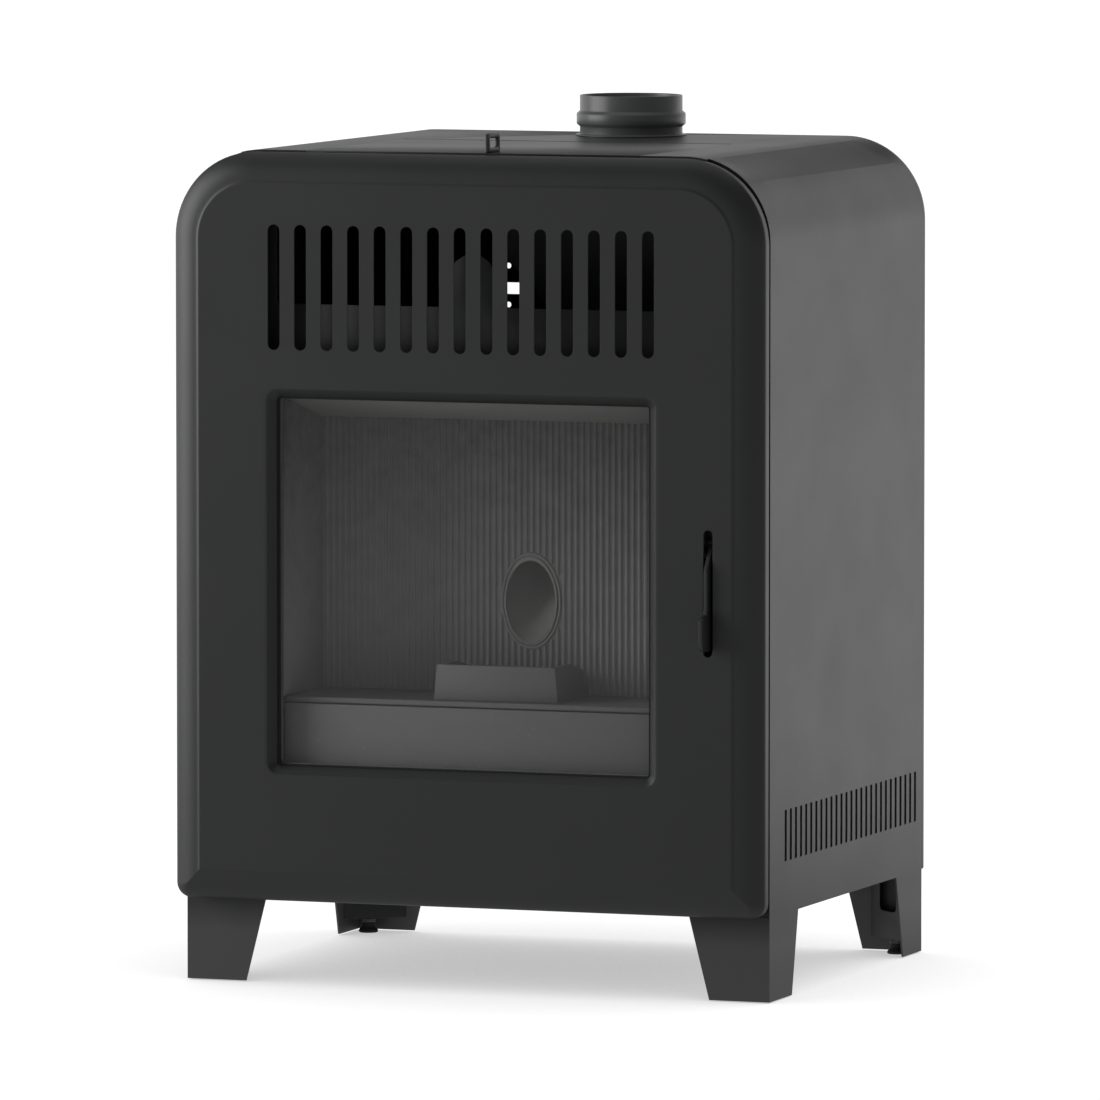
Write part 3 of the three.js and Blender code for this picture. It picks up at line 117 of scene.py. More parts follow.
def makeLamp(name, spec):
    lamp = bpy.data.objects.new(name, bpy.data.lights.new(name, "AREA"))
    lamp.data.energy = spec["watts"]
    lamp.data.shape = "RECTANGLE"
    lamp.data.size, lamp.data.size_y = (side * mm for side in spec["size"])
    lamp.location = [value * mm for value in spec["place"]]
    aim = Vector(studio["aim"]) - lamp.location
    lamp.rotation_euler = aim.to_track_quat("-Z", "Y").to_euler()
    scene.collection.objects.link(lamp)


def makeRoom(spec):
    world = bpy.data.worlds.new("studioRoom")
    scene.world = world
    world.use_nodes = True
    tree = world.node_tree
    tree.nodes.clear()
    place = addNode(tree, "ShaderNodeTexCoord")
    split = addNode(tree, "ShaderNodeSeparateXYZ", links={0: place.outputs["Generated"]})
    turn = addNode(tree, "ShaderNodeMath", multiplyAdd, {1: spec["leftLean"]},
                   {0: split.outputs["X"], 2: split.outputs["Y"]})
    back = addNode(tree, "ShaderNodeMapRange", smoothStep, {"From Min": spec["backFrom"], "From Max": spec["backTo"]},
                   {"Value": turn.outputs[0]})
    right = addNode(tree, "ShaderNodeMath", {"operation": "MAXIMUM"}, {1: 0.0}, {0: split.outputs["X"]})
    height = addNode(tree, "ShaderNodeMath", multiplyAdd, {1: spec["skyLean"]},
                     {0: right.outputs[0], 2: split.outputs["Z"]})
    sky = addNode(tree, "ShaderNodeMapRange", smoothStep,
                  {"From Min": spec["skyFrom"], "From Max": spec["skyTo"], "To Min": 1.0, "To Max": 0.0},
                  {"Value": height.outputs[0]})
    share = addNode(tree, "ShaderNodeMath", {"operation": "MULTIPLY"},
                    links={0: back.outputs["Result"], 1: sky.outputs["Result"]})
    level = addNode(tree, "ShaderNodeMapRange", inputs={"To Min": spec["roomLow"], "To Max": spec["roomBright"]},
                    links={"Value": share.outputs[0]})
    low, high, least = spec["zenith"]
    dome = addNode(tree, "ShaderNodeMapRange", smoothStep,
                   {"From Min": low, "From Max": high, "To Min": 1.0, "To Max": least}, {"Value": split.outputs["Z"]})
    strength = addNode(tree, "ShaderNodeMath", {"operation": "MULTIPLY"},
                       links={0: level.outputs["Result"], 1: dome.outputs["Result"]})
    room = addNode(tree, "ShaderNodeBackground", links={"Strength": strength.outputs[0]})
    white = addNode(tree, "ShaderNodeBackground", inputs={"Strength": spec["cameraWhite"]})
    seen = addNode(tree, "ShaderNodeLightPath")
    both = addNode(tree, "ShaderNodeMixShader",
                   links={0: seen.outputs["Is Camera Ray"], 1: room.outputs[0], 2: white.outputs[0]})
    addNode(tree, "ShaderNodeOutputWorld", links={"Surface": both.outputs[0]})


def makeFloor(spec):
    reach = spec["floorReach"]
    corners = [(-reach, -reach, 0), (reach, -reach, 0), (reach, reach, 0), (-reach, reach, 0)]
    mesh = bpy.data.meshes.new("studioFloor")
    mesh.from_pydata(corners, [], [(0, 1, 2, 3)])
    floor = bpy.data.objects.new("studioFloor", mesh)
    scene.collection.objects.link(floor)
    paint = bpy.data.materials.new("paleFloor")
    paint.use_nodes = True
    tree = paint.node_tree
    tree.nodes.clear()
    (dark, light), (near, opened) = spec["floorShade"], spec["shelter"]
    shelter = addNode(tree, "ShaderNodeAmbientOcclusion", {"samples": 8}, {"Distance": near})
    shade = addNode(tree, "ShaderNodeMapRange", inputs={"From Max": opened, "To Min": dark, "To Max": light},
                    links={"Value": shelter.outputs["AO"]})
    bright = addNode(tree, "ShaderNodeEmission", links={"Strength": shade.outputs["Result"]})
    split = addNode(tree, "ShaderNodeSeparateXYZ", links={0: addNode(tree, "ShaderNodeTexCoord").outputs["Object"]})
    (front, behind), (start, full) = spec["floorGlow"], spec["glowTurn"]
    depth = addNode(tree, "ShaderNodeMapRange", smoothStep,
                    {"From Min": start, "From Max": full, "To Min": front, "To Max": behind},
                    {"Value": split.outputs["Y"]})
    glow = addNode(tree, "ShaderNodeEmission", links={"Strength": depth.outputs["Result"]})
    seen = addNode(tree, "ShaderNodeLightPath")
    both = addNode(tree, "ShaderNodeMixShader",
                   links={0: seen.outputs["Is Camera Ray"], 1: glow.outputs[0], 2: bright.outputs[0]})
    addNode(tree, "ShaderNodeOutputMaterial", links={"Surface": both.outputs[0]})
    mesh.materials.append(paint)


makeCamera(cameraSpot)
makeRoom(studio)
makeLamp("frontLeftSoftBox", studio["fill"])
makeLamp("topSoftBox", studio["top"])
makeFloor(studio)
scene.view_settings.view_transform = "Standard"
print("camera and studio made")


# Each finish: two tones that drift over patches, a drifting gloss and a grain that bumps the surface, sizes in mm.
# speck: tone, size and threshold of small spots. streak: spacing and stretch of drawn or rolled lines.
# By height: a tone and the heights between which it takes over; on the powder coat this is painted light near the
# floor, on the vermiculite a darker top.
# metallic is 0 and ior 1.5 where a finish doesn't say.
finishes = {
    "powderCoatedSteel": {  # electrostatic powder, cured: satin, with a fine orange peel and a little house dust, and painted light low on the legs near the floor
        "tones": ("2a2b2c", "2c2d2e"), "patch": 90, "rough": (0.41, 0.45), "grain": 1.6, "depth": 0.010,
        "speck": ("3c3c3c", 2.2, 0.70), "heightTint": ("484848", 58, 36),
    },
    "heatProofPaint": {  # matt stove paint on cast and welded steel, dusty in patches
        "tones": ("3f3f40", "484849"), "patch": 35, "rough": (0.62, 0.78), "grain": 1.1, "depth": 0.05,
        "speck": ("5c5b59", 3.0, 0.66),
    },
    "vermiculitePlate": {  # pressed flakes, grey and matt, darker towards the top
        "tones": ("9b9b9b", "a7a7a6"), "patch": 18, "rough": (0.85, 0.95), "ior": 1.45, "grain": 1.3, "depth": 0.12,
        "speck": ("b3b2af", 1.8, 0.64), "heightTint": ("5c5c5c", 330, 520),
    },
    "castIron": {  # sand cast, grainy and dull, with burnt patches
        "tones": ("727273", "7e7e7e"), "patch": 12, "rough": (0.55, 0.7), "metallic": 0.3, "grain": 0.9, "depth": 0.08,
        "speck": ("8a857e", 2.5, 0.66),
    },
    "galvanisedSteel": {  # hot-dip zinc: soft spangle, faint rolling lines
        "tones": ("7d7f81", "929496"), "patch": 9, "rough": (0.38, 0.52), "metallic": 0.85, "grain": 2.5,
        "depth": 0.008, "streak": (1.2, 40),
    },
    "greyEnamelledSteel": {  # plain mild steel sheet with a thin grey enamel, dulled by ash
        "tones": ("767678", "7e7e80"), "patch": 30, "rough": (0.5, 0.62), "grain": 1.4, "depth": 0.012,
        "speck": ("a09f9c", 2.4, 0.66),
    },
    "zincPlatedSteel": {  # bright plating on small pressed parts and screws
        "tones": ("8f9193", "a0a2a3"), "patch": 14, "rough": (0.28, 0.4), "metallic": 0.9, "grain": 0.8, "depth": 0.006,
        "speck": ("6c6a66", 1.6, 0.68),
    },
    "mouldedPolyamide": {  # injection moulded, lightly spark eroded
        "tones": ("18191a", "1d1e1f"), "patch": 40, "rough": (0.5, 0.6), "ior": 1.53, "grain": 0.5, "depth": 0.02,
    },
    "footRubber": {  # moulded rubber, slightly bloomed
        "tones": ("1a1a1a", "232323"), "patch": 10, "rough": (0.7, 0.85), "ior": 1.52, "grain": 0.8, "depth": 0.03,
        "speck": ("343331", 1.8, 0.64),
    },
    "fluePaintedSheen": {  # heat-proof enamel on the flue socket, glossier than the powder coat, and lighter in tone as a painted sheen
        "tones": ("5a5b5c", "606162"), "patch": 40, "rough": (0.32, 0.38), "ior": 1.52, "grain": 1.4, "depth": 0.008,
        "speck": ("4a4a4a", 2.0, 0.70),
    },
    "bracketPaintedShade": {  # dull paint on the brackets inside the legs, darker than the powder coat: painted shade from the body above them
        "tones": ("1b1c1c", "202121"), "patch": 30, "rough": (0.50, 0.58), "grain": 1.2, "depth": 0.008,
        "speck": ("2c2c2c", 2.0, 0.68),
    },
    "ashedSteel": {  # sheet steel inside the fire, under a film of pale ash
        "tones": ("8e8e8c", "9a9a97"), "patch": 26, "rough": (0.6, 0.75), "grain": 1.2, "depth": 0.03,
        "speck": ("acaba6", 2.6, 0.66),
    },
    "circuitLaminate": {  # glass-epoxy board under green solder mask
        "tones": ("20442b", "2b5638"), "patch": 4, "rough": (0.35, 0.45), "ior": 1.55, "grain": 0.6, "depth": 0.01,
    },
}


def newMaterial(name):
    material = bpy.data.materials.new(name)
    material.use_nodes = True
    return material, material.node_tree, material.node_tree.nodes["Principled BSDF"]


def makeFinish(name, spec):
    material, tree, shader = newMaterial(name)
    place = addNode(tree, "ShaderNodeTexCoord").outputs["Object"]
    drift = addNode(tree, "ShaderNodeTexNoise", inputs={"Scale": 1000 / spec["patch"], "Detail": 3.0, "Roughness": 0.6},
                    links={"Vector": place})
    tones = addNode(tree, "ShaderNodeMix", colorMix, {6: hexColor(spec["tones"][0]), 7: hexColor(spec["tones"][1])},
                    {0: drift.outputs["Fac"]})
    color = tones.outputs[2]
    if "speck" in spec:
        tone, size, threshold = spec["speck"]
        spots = addNode(tree, "ShaderNodeTexNoise", inputs={"Scale": 1000 / size, "Detail": 3.0},
                        links={"Vector": place})
        cut = addNode(tree, "ShaderNodeMapRange",
                      inputs={"From Min": threshold, "From Max": threshold + 0.06, "To Max": 0.6},
                      links={"Value": spots.outputs["Fac"]})
        dusty = addNode(tree, "ShaderNodeMix", colorMix, {7: hexColor(tone)}, {0: cut.outputs["Result"], 6: color})
        color = dusty.outputs[2]
    # A tone laid on by height: painted light near the floor on the powder coat, a darker top on the vermiculite.
    if "heightTint" in spec:
        tone, start, full = spec["heightTint"]
        height = addNode(tree, "ShaderNodeSeparateXYZ", links={0: place})
        waver = addNode(tree, "ShaderNodeMath", multiplyAdd, {1: 0.6 * (full - start) * mm},
                        {0: drift.outputs["Fac"], 2: height.outputs["Z"]})
        thick = addNode(tree, "ShaderNodeMapRange", inputs={"From Min": start * mm, "From Max": full * mm},
                        links={"Value": waver.outputs[0]})
        tinted = addNode(tree, "ShaderNodeMix", colorMix, {7: hexColor(tone)}, {0: thick.outputs["Result"], 6: color})
        color = tinted.outputs[2]
    dull, duller = spec["rough"]
    gloss = addNode(tree, "ShaderNodeMapRange", links={"Value": drift.outputs["Fac"]},
                    inputs={"From Min": 0.3, "From Max": 0.7, "To Min": dull, "To Max": duller})
    grain = addNode(tree, "ShaderNodeTexNoise", inputs={"Scale": 1000 / spec["grain"], "Detail": 2.0},
                    links={"Vector": place})
    bump = addNode(tree, "ShaderNodeBump", inputs={"Distance": spec["depth"] * mm},
                   links={"Height": grain.outputs["Fac"]})
    if "streak" in spec:
        spacing, stretch = spec["streak"]
        along = addNode(tree, "ShaderNodeMapping", links={"Vector": place},
                        inputs={"Scale": (1000 / spacing, 1000 / spacing, 1000 / (spacing * stretch))})
        lines = addNode(tree, "ShaderNodeTexNoise", inputs={"Scale": 1.0, "Detail": 2.0},
                        links={"Vector": along.outputs[0]})
        bump = addNode(tree, "ShaderNodeBump", inputs={"Distance": 0.01 * mm},
                       links={"Height": lines.outputs["Fac"], "Normal": bump.outputs["Normal"]})
    tree.links.new(color, shader.inputs["Base Color"])
    tree.links.new(gloss.outputs["Result"], shader.inputs["Roughness"])
    tree.links.new(bump.outputs["Normal"], shader.inputs["Normal"])
    shader.inputs["Metallic"].default_value = spec.get("metallic", 0.0)
    if "metallic" not in spec:
        shader.inputs["IOR"].default_value = spec.get("ior", 1.5)
    return material


materials = {name: makeFinish(name, spec) for name, spec in finishes.items()}
pane = {"Base Color": hexColor("7c7c7c"), "Roughness": 0.04, "IOR": 1.54, "Alpha": 0.12}
knit = {"strand": 1.1, "tones": (0.012, 0.035), "depth": 0.3}  # mm, linear greys in the gaps and on the fibres, mm


def makeGlass(spec):
    # Clear glass-ceramic pane with a thin grey haze: alpha lets the firebox show through.
    material, tree, shader = newMaterial("glassCeramic")
    for name, value in spec.items():
        shader.inputs[name].default_value = value
    return material


def makeKnit(spec):
    # Knitted glass-fibre cord, dyed grey-black: fine fibres across the strands that the mesh already shows.
    material, tree, shader = newMaterial("glassFibreKnit")
    place = addNode(tree, "ShaderNodeTexCoord").outputs["Object"]
    strand = addNode(tree, "ShaderNodeTexVoronoi", {"feature": "DISTANCE_TO_EDGE"}, {"Scale": 1000 / spec["strand"]},
                     {"Vector": place}).outputs["Distance"]
    gap, fibre = spec["tones"]
    tones = addNode(tree, "ShaderNodeMapRange", inputs={"From Max": 0.4, "To Min": gap, "To Max": fibre},
                    links={"Value": strand})
    bump = addNode(tree, "ShaderNodeBump", inputs={"Distance": spec["depth"] * mm}, links={"Height": strand})
    tree.links.new(tones.outputs["Result"], shader.inputs["Base Color"])
    tree.links.new(bump.outputs["Normal"], shader.inputs["Normal"])
    shader.inputs["Roughness"].default_value = 0.95
    return material


materials["glassCeramic"] = makeGlass(pane)
materials["glassFibreKnit"] = makeKnit(knit)

legs = ("front_left", "rear_left", "front_right", "rear_right")
nodeFinish = {
    "powderCoatedSteel": ["front_frame", "rear_cover", "lid_pull", "hopper", "right_side_panel", "left_side_panel",
                          "rear_top_cover", "hopper_lid", "door_panel", "door_handle", "air_guide_plate"],
    "bracketPaintedShade": [leg + "_leg_bracket" for leg in legs],
    "fluePaintedSheen": ["flue_collar"],
    "ashedSteel": ["pellet_chute", "firebox_shell", "baffle_plate"],
    "heatProofPaint": ["auger_tube", "smoke_duct", "exhaust_fan_housing", "heat_exchanger"],
    "vermiculitePlate": ["ribbed_back_plate", "left_side_plate", "right_side_plate"],
    "castIron": ["burn_pot", "pot_shelf"],
    "galvanisedSteel": ["base_tray", "air_intake_pipe", "flue_pipe", "room_fan_housing", "door_inner_frame"],
    "greyEnamelledSteel": ["ash_drawer"],
    "zincPlatedSteel": ["lid_hinge_pin", "handle_pivot_pin", "upper_hinge_bracket", "lower_hinge_bracket",
                        "latch_keeper", "igniter", "auger_screw", "exhaust_impeller", "room_fan_drum"],
    "mouldedPolyamide": ["auger_gearmotor", "exhaust_motor", "room_fan_motor", "mains_inlet", "rocker_switch",
                         "pressure_switch"],
    "footRubber": [leg + "_foot" for leg in legs],
    "circuitLaminate": ["control_board"],
    "glassCeramic": ["door_glass"],
    "glassFibreKnit": ["glass_seal", "door_rope_seal"],
}
finishOf = {node: finish for finish, names in nodeFinish.items() for node in names}
bodyOf = {node: body for body, names in frame["record"]["behaviour"]["bodies"].items() for node in names}


def paintNodes():
    for name, node in nodes.items():
        material = materials[finishOf[name]]
        if not node.data.materials:
            node.data.materials.append(material)
        for slot in node.material_slots:
            slot.material = material


paintNodes()
print("materials made:", len(materials))


def pieceFrom(name, bm, finish, smoothAngle=30):
    mesh = bpy.data.meshes.new(name)
    bm.to_mesh(mesh)
    bm.free()
    mesh.materials.append(materials[finish])
    smooth(mesh, smoothAngle)
    piece = bpy.data.objects.new(name, mesh)
    scene.collection.objects.link(piece)
    return piece


def closedPiece(name, bm, finish, smoothAngle=30):
    bmesh.ops.recalc_face_normals(bm, faces=bm.faces)
    return pieceFrom(name, bm, finish, smoothAngle)


def smooth(mesh, angle):
    mesh.polygons.foreach_set("use_smooth", [True] * len(mesh.polygons))
    mesh.set_sharp_from_angle(angle=math.radians(angle))


def settle(piece, node, replaced=True):
    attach(piece, bodyOf[node])
    if replaced:
        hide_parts(node)
    return piece


def applied(piece, smoothAngle=30):
    graph = bpy.context.evaluated_depsgraph_get()
    mesh = bpy.data.meshes.new_from_object(piece.evaluated_get(graph))
    piece.modifiers.clear()
    piece.data = mesh
    smooth(mesh, smoothAngle)
    return piece


def bevelled(piece, width, segments=2, angle=35, smoothAngle=30):
    modifier = piece.modifiers.new("edge", "BEVEL")
    modifier.width = width * mm
    modifier.segments = segments
    modifier.limit_method = "ANGLE"
    modifier.angle_limit = math.radians(angle)
    return applied(piece, smoothAngle)


def thickened(piece, thickness, smoothAngle=30):
    modifier = piece.modifiers.new("sheet", "SOLIDIFY")
    modifier.thickness = thickness * mm
    modifier.offset = -1
    modifier.use_even_offset = True
    return applied(piece, smoothAngle)


def cleanCopy(node):
    # The CAD mesh is loose triangles: its corners are joined and its flat faces made one.
    bm = bmesh.new()
    bm.from_mesh(nodes[node].data)
    bmesh.ops.remove_doubles(bm, verts=bm.verts, dist=2e-6)
    bmesh.ops.dissolve_limit(bm, angle_limit=math.radians(1), verts=bm.verts, edges=bm.edges)
    return bm


softEdges = {  # folded, cast or moulded edges, as bevel width in mm
    "hopper_lid": 0.4, "rear_top_cover": 0.4, "lid_pull": 1.1, "burn_pot": 1.0, "front_frame": 0.4,
    "ash_drawer": 0.5, "upper_hinge_bracket": 0.3, "lower_hinge_bracket": 0.3, "latch_keeper": 0.3,
    "front_left_leg_bracket": 0.4, "rear_left_leg_bracket": 0.4, "front_right_leg_bracket": 0.4,
    "rear_right_leg_bracket": 0.4, "pot_shelf": 0.6, "baffle_plate": 0.8, "mains_inlet": 0.8, "rocker_switch": 0.5,
    "auger_gearmotor": 1.0, "exhaust_motor": 1.0, "room_fan_motor": 1.0, "room_fan_housing": 0.5, "base_tray": 0.4,
    "air_guide_plate": 0.3, "door_inner_frame": 0.3, "door_glass": 0.8, "left_side_plate": 0.6, "right_side_plate": 0.6,
    "igniter": 0.6, "control_board": 0.25, "pressure_switch": 0.8, "auger_tube": 0.6, "exhaust_fan_housing": 1.0,
    "smoke_duct": 0.5, "hopper": 0.3, "lid_hinge_pin": 0.3, "handle_pivot_pin": 0.4,
}


def softenEdges():
    for node, width in softEdges.items():
        piece = pieceFrom("soft_" + node, cleanCopy(node), finishOf[node])
        settle(bevelled(piece, width), node)


softenEdges()
print("edges softened:", len(softEdges))


def arc(cx, cz, radius, start, end, steps):
    return [(cx + radius * math.cos(math.radians(start + (end - start) * i / steps)),
             cz + radius * math.sin(math.radians(start + (end - start) * i / steps))) for i in range(steps + 1)]


def roundedLoop(left, right, bottom, top, topRadius, footRadius, inset=0, topSteps=14, footSteps=6):
    topTurn, footTurn = max(topRadius - inset, 0.5), max(footRadius - inset, 0.5)
    left, right, bottom, top = left + inset, right - inset, bottom + inset, top - inset
    return (arc(right - footTurn, bottom + footTurn, footTurn, -90, 0, footSteps)
            + arc(right - topTurn, top - topTurn, topTurn, 0, 90, topSteps)
            + arc(left + topTurn, top - topTurn, topTurn, 90, 180, topSteps)
            + arc(left + footTurn, bottom + footTurn, footTurn, 180, 270, footSteps))


def outlineOf(sheet):
    return [sheet[key] for key in ("left", "right", "bottom", "top", "topRadius", "footRadius")]


def slotLoop(x, bottom, top, width, steps=10):
    radius = width / 2
    return arc(x, top - radius, radius, 0, 180, steps) + arc(x, bottom + radius, radius, 180, 360, steps)


def addRing(bm, loop, y):
    return [bm.verts.new(point(x, y, z)) for x, z in loop]


def joinRings(bm, first, second):
    count = len(first)
    for i in range(count):
        j = (i + 1) % count
        bm.faces.new((first[i], first[j], second[j], second[i]))


def joinAll(bm, rings, closed=False):
    for first, second in zip(rings, rings[1:]):
        joinRings(bm, first, second)
    if closed:
        joinRings(bm, rings[-1], rings[0])


def joinCapped(bm, rings):
    joinAll(bm, rings)
    bm.faces.new(rings[0])
    bm.faces.new(rings[-1])


def fillBetween(bm, loops):
    # Flat face with holes: the first loop is the outside.
    edges = []
    for loop in loops:
        for i, vert in enumerate(loop):
            other = loop[(i + 1) % len(loop)]
            edges.append(bm.edges.get((vert, other)) or bm.edges.new((vert, other)))
    bmesh.ops.triangle_fill(bm, use_beauty=True, use_dissolve=False, edges=edges)


def faceOut(bm, direction):
    # An open sheet is turned as a whole so that its largest face looks out.
    bmesh.ops.recalc_face_normals(bm, faces=bm.faces)
    largest = max(bm.faces, key=lambda face: face.calc_area())
    if largest.normal.dot(Vector(direction)) < 0:
        bmesh.ops.reverse_faces(bm, faces=bm.faces)


def addBlock(bm, x0, x1, y0, y1, z0, z1):
    verts = [bm.verts.new(point(x, y, z)) for x in (x0, x1) for y in (y0, y1) for z in (z0, z1)]
    for face in ((0, 1, 3, 2), (4, 6, 7, 5), (0, 4, 5, 1), (2, 3, 7, 6), (0, 2, 6, 4), (1, 5, 7, 3)):
        bm.faces.new([verts[i] for i in face])


def cutPlate(name, finish, size, edge):
    # A plate round the origin, to be repeated.
    bm = bmesh.new()
    bmesh.ops.create_cube(bm, size=1)
    bmesh.ops.scale(bm, vec=[side * mm for side in size], verts=bm.verts)
    return bevelled(pieceFrom(name, bm, finish), edge)


def turnedPiece(name, finish, profile, spot, turns, axis="z", smoothAngle=40):
    # A closed profile of radius and height, turned about an axis through a spot.
    bm = bmesh.new()
    rings = []
    for i in range(turns):
        angle = 2 * math.pi * i / turns
        ring = []
        for radius, height in profile:
            place = [spot[0] + radius * math.cos(angle), spot[1] + radius * math.sin(angle)]
            place.insert("xyz".index(axis), height)
            ring.append(bm.verts.new(point(*place)))
        rings.append(ring)
    joinAll(bm, rings, True)
    bmesh.ops.remove_doubles(bm, verts=bm.verts, dist=1e-7)
    bmesh.ops.dissolve_degenerate(bm, edges=bm.edges, dist=1e-7)
    return closedPiece(name, bm, finish, smoothAngle)


def makeRepeatTree():
    # Sets one part at each point, turned by the point's facing and scaled by its size, with a random spin.
    tree = bpy.data.node_groups.new("repeatedParts", "GeometryNodeTree")
    for label, kind in (("Geometry", "Geometry"), ("Part", "Object"), ("Spin", "Float"), ("Seed", "Int"),
                        ("Finish", "Material")):
        tree.interface.new_socket(name=label, in_out="INPUT", socket_type="NodeSocket" + kind)
    tree.interface.new_socket(name="Geometry", in_out="OUTPUT", socket_type="NodeSocketGeometry")
    given = addNode(tree, "NodeGroupInput").outputs
    part = addNode(tree, "GeometryNodeObjectInfo", links={"Object": given["Part"]})
    spots = addNode(tree, "GeometryNodeMeshToPoints", links={"Mesh": given["Geometry"]})
    facing = addNode(tree, "GeometryNodeInputNamedAttribute", {"data_type": "FLOAT_VECTOR"}, {"Name": "facing"})
    size = addNode(tree, "GeometryNodeInputNamedAttribute", {"data_type": "FLOAT_VECTOR"}, {"Name": "size"})
    turn = addNode(tree, "FunctionNodeEulerToRotation", links={"Euler": facing.outputs["Attribute"]})
    parts = addNode(tree, "GeometryNodeInstanceOnPoints",
                    links={"Points": spots.outputs["Points"], "Instance": part.outputs["Geometry"],
                           "Rotation": turn.outputs["Rotation"], "Scale": size.outputs["Attribute"]})
    chance = addNode(tree, "FunctionNodeRandomValue", {"data_type": "FLOAT"}, {2: 0.0},
                     {3: given["Spin"], 8: given["Seed"]})
    about = addNode(tree, "ShaderNodeCombineXYZ", links={"Z": chance.outputs[1]})
    spin = addNode(tree, "FunctionNodeEulerToRotation", links={"Euler": about.outputs[0]})
    turned = addNode(tree, "GeometryNodeRotateInstances",
                     links={"Instances": parts.outputs["Instances"], "Rotation": spin.outputs["Rotation"]})
    real = addNode(tree, "GeometryNodeRealizeInstances", links={"Geometry": turned.outputs["Instances"]})
    done = addNode(tree, "GeometryNodeSetMaterial",
                   links={"Geometry": real.outputs["Geometry"], "Material": given["Finish"]})
    addNode(tree, "NodeGroupOutput", links={"Geometry": done.outputs["Geometry"]})
    return tree


repeatTree = makeRepeatTree()
facings = {"front": (90, 0, 0), "back": (-90, 0, 0), "down": (180, 0, 0)}


def repeatSpot(place, turn=(0, 0, 0), scale=(1, 1, 1)):
    return place, turn, scale  # mm, degrees, shares


def repeated(name, finish, part, spots, spin=0.0, seed=7, smoothAngle=30):
    mesh = bpy.data.meshes.new(name)
    mesh.from_pydata([point(*spot[0]) for spot in spots], [], [])
    facing = mesh.attributes.new("facing", "FLOAT_VECTOR", "POINT")
    facing.data.foreach_set("vector", [math.radians(value) for spot in spots for value in spot[1]])
    size = mesh.attributes.new("size", "FLOAT_VECTOR", "POINT")
    size.data.foreach_set("vector", [value for spot in spots for value in spot[2]])
    row = bpy.data.objects.new(name, mesh)
    scene.collection.objects.link(row)
    modifier = row.modifiers.new("repeat", "NODES")
    modifier.node_group = repeatTree
    given = {"Part": part, "Spin": spin, "Seed": seed, "Finish": materials[finish]}
    for item in repeatTree.interface.items_tree:
        if item.in_out == "INPUT" and item.name in given:
            modifier[item.identifier] = given[item.name]
    applied(row, smoothAngle)
    bpy.data.objects.remove(part)
    return row


def joinedPiece(name, pieces, finish, smoothAngle=30):
    bm = bmesh.new()
    for piece in pieces:
        bm.from_mesh(piece.data)
        bpy.data.objects.remove(piece)
    return pieceFrom(name, bm, finish, smoothAngle)


doorSheet = {
    "left": -247, "right": 247, "bottom": 68, "top": 661.5, "topRadius": 68, "footRadius": 12,
    "profile": [  # inset from the outline and y, in mm: the return, the rolled edge, the swept border, the raised field
        (0, 9.5), (0, 4), (0, 1.9), (0.25, 1.1), (0.9, 0.1), (2.0, -1.1), (3.6, -2.6), (6, -4.4), (9, -6.3),
        (12.5, -7.9), (16.5, -9.05), (20, -9.6), (22.0, -9.8), (22.5, -9.95), (23.4, -10.45), (24.0, -10.6),
        (24.8, -10.6), (27, -10.6),
    ],
    "thickness": 2.0, "field": -10.6,
}
doorWindow = {
    "left": -165.5, "right": 160.5, "bottom": 169.5, "top": 475.5, "topRadius": 10, "footRadius": 10,
    "reveal": [(-3, -10.6), (-0.3, -10.6), (0.2, -10.5), (0.6, -10.2), (6.2, -4.5), (6.5, -4.1), (6.6, -3.2)],
}
doorSlots = {"count": 15, "pitch": 22.36, "centre": -2.5, "width": 9.8, "bottom": 506, "top": 605, "edge": 0.35}
leverSlot = {"x": 203.7, "width": 7.5, "bottom": 273.5, "top": 372.7}


def makeDoorPanel():
    bm = bmesh.new()
    rings = [addRing(bm, roundedLoop(*outlineOf(doorSheet), inset=inset, topSteps=20, footSteps=8), y)
             for inset, y in doorSheet["profile"]]
    joinAll(bm, rings)
    reveal = [addRing(bm, roundedLoop(*outlineOf(doorWindow), inset=inset, topSteps=8, footSteps=8), y)
              for inset, y in doorWindow["reveal"]]
    joinAll(bm, reveal)
    s, lever = doorSlots, leverSlot
    slots = [(s["centre"] + (i - (s["count"] - 1) / 2) * s["pitch"], s["bottom"], s["top"], s["width"])
             for i in range(s["count"])]
    slots.append((lever["x"], lever["bottom"], lever["top"], lever["width"]))
    lips = []
    edge, field = s["edge"], doorSheet["field"]
    for x, bottom, top, width in slots:
        lip = [addRing(bm, slotLoop(x, bottom - out, top + out, width + 2 * out), y)
               for out, y in ((3 * edge, field), (edge, field), (0, field + edge))]
        joinAll(bm, lip)
        lips.append(lip[0])
    fillBetween(bm, [rings[-1], reveal[0]] + lips)
    faceOut(bm, (0, -1, 0))
    panel = pieceFrom("doorPressedPanel", bm, "powderCoatedSteel", 24)
    thickened(panel, doorSheet["thickness"], 24)
    settle(panel, "door_panel")


makeDoorPanel()
print("door panel made")

ropeShape = {
    "left": -167.2, "right": 167.2, "bottom": 143, "top": 477, "topRadius": 2, "footRadius": 2,
    "inset": -5.5, "halfWidth": 4.0, "middleY": 8.15, "halfDepth": 3.5,
    "step": 1.7, "strand": 5.1, "knit": 0.07, "sides": 14,
}


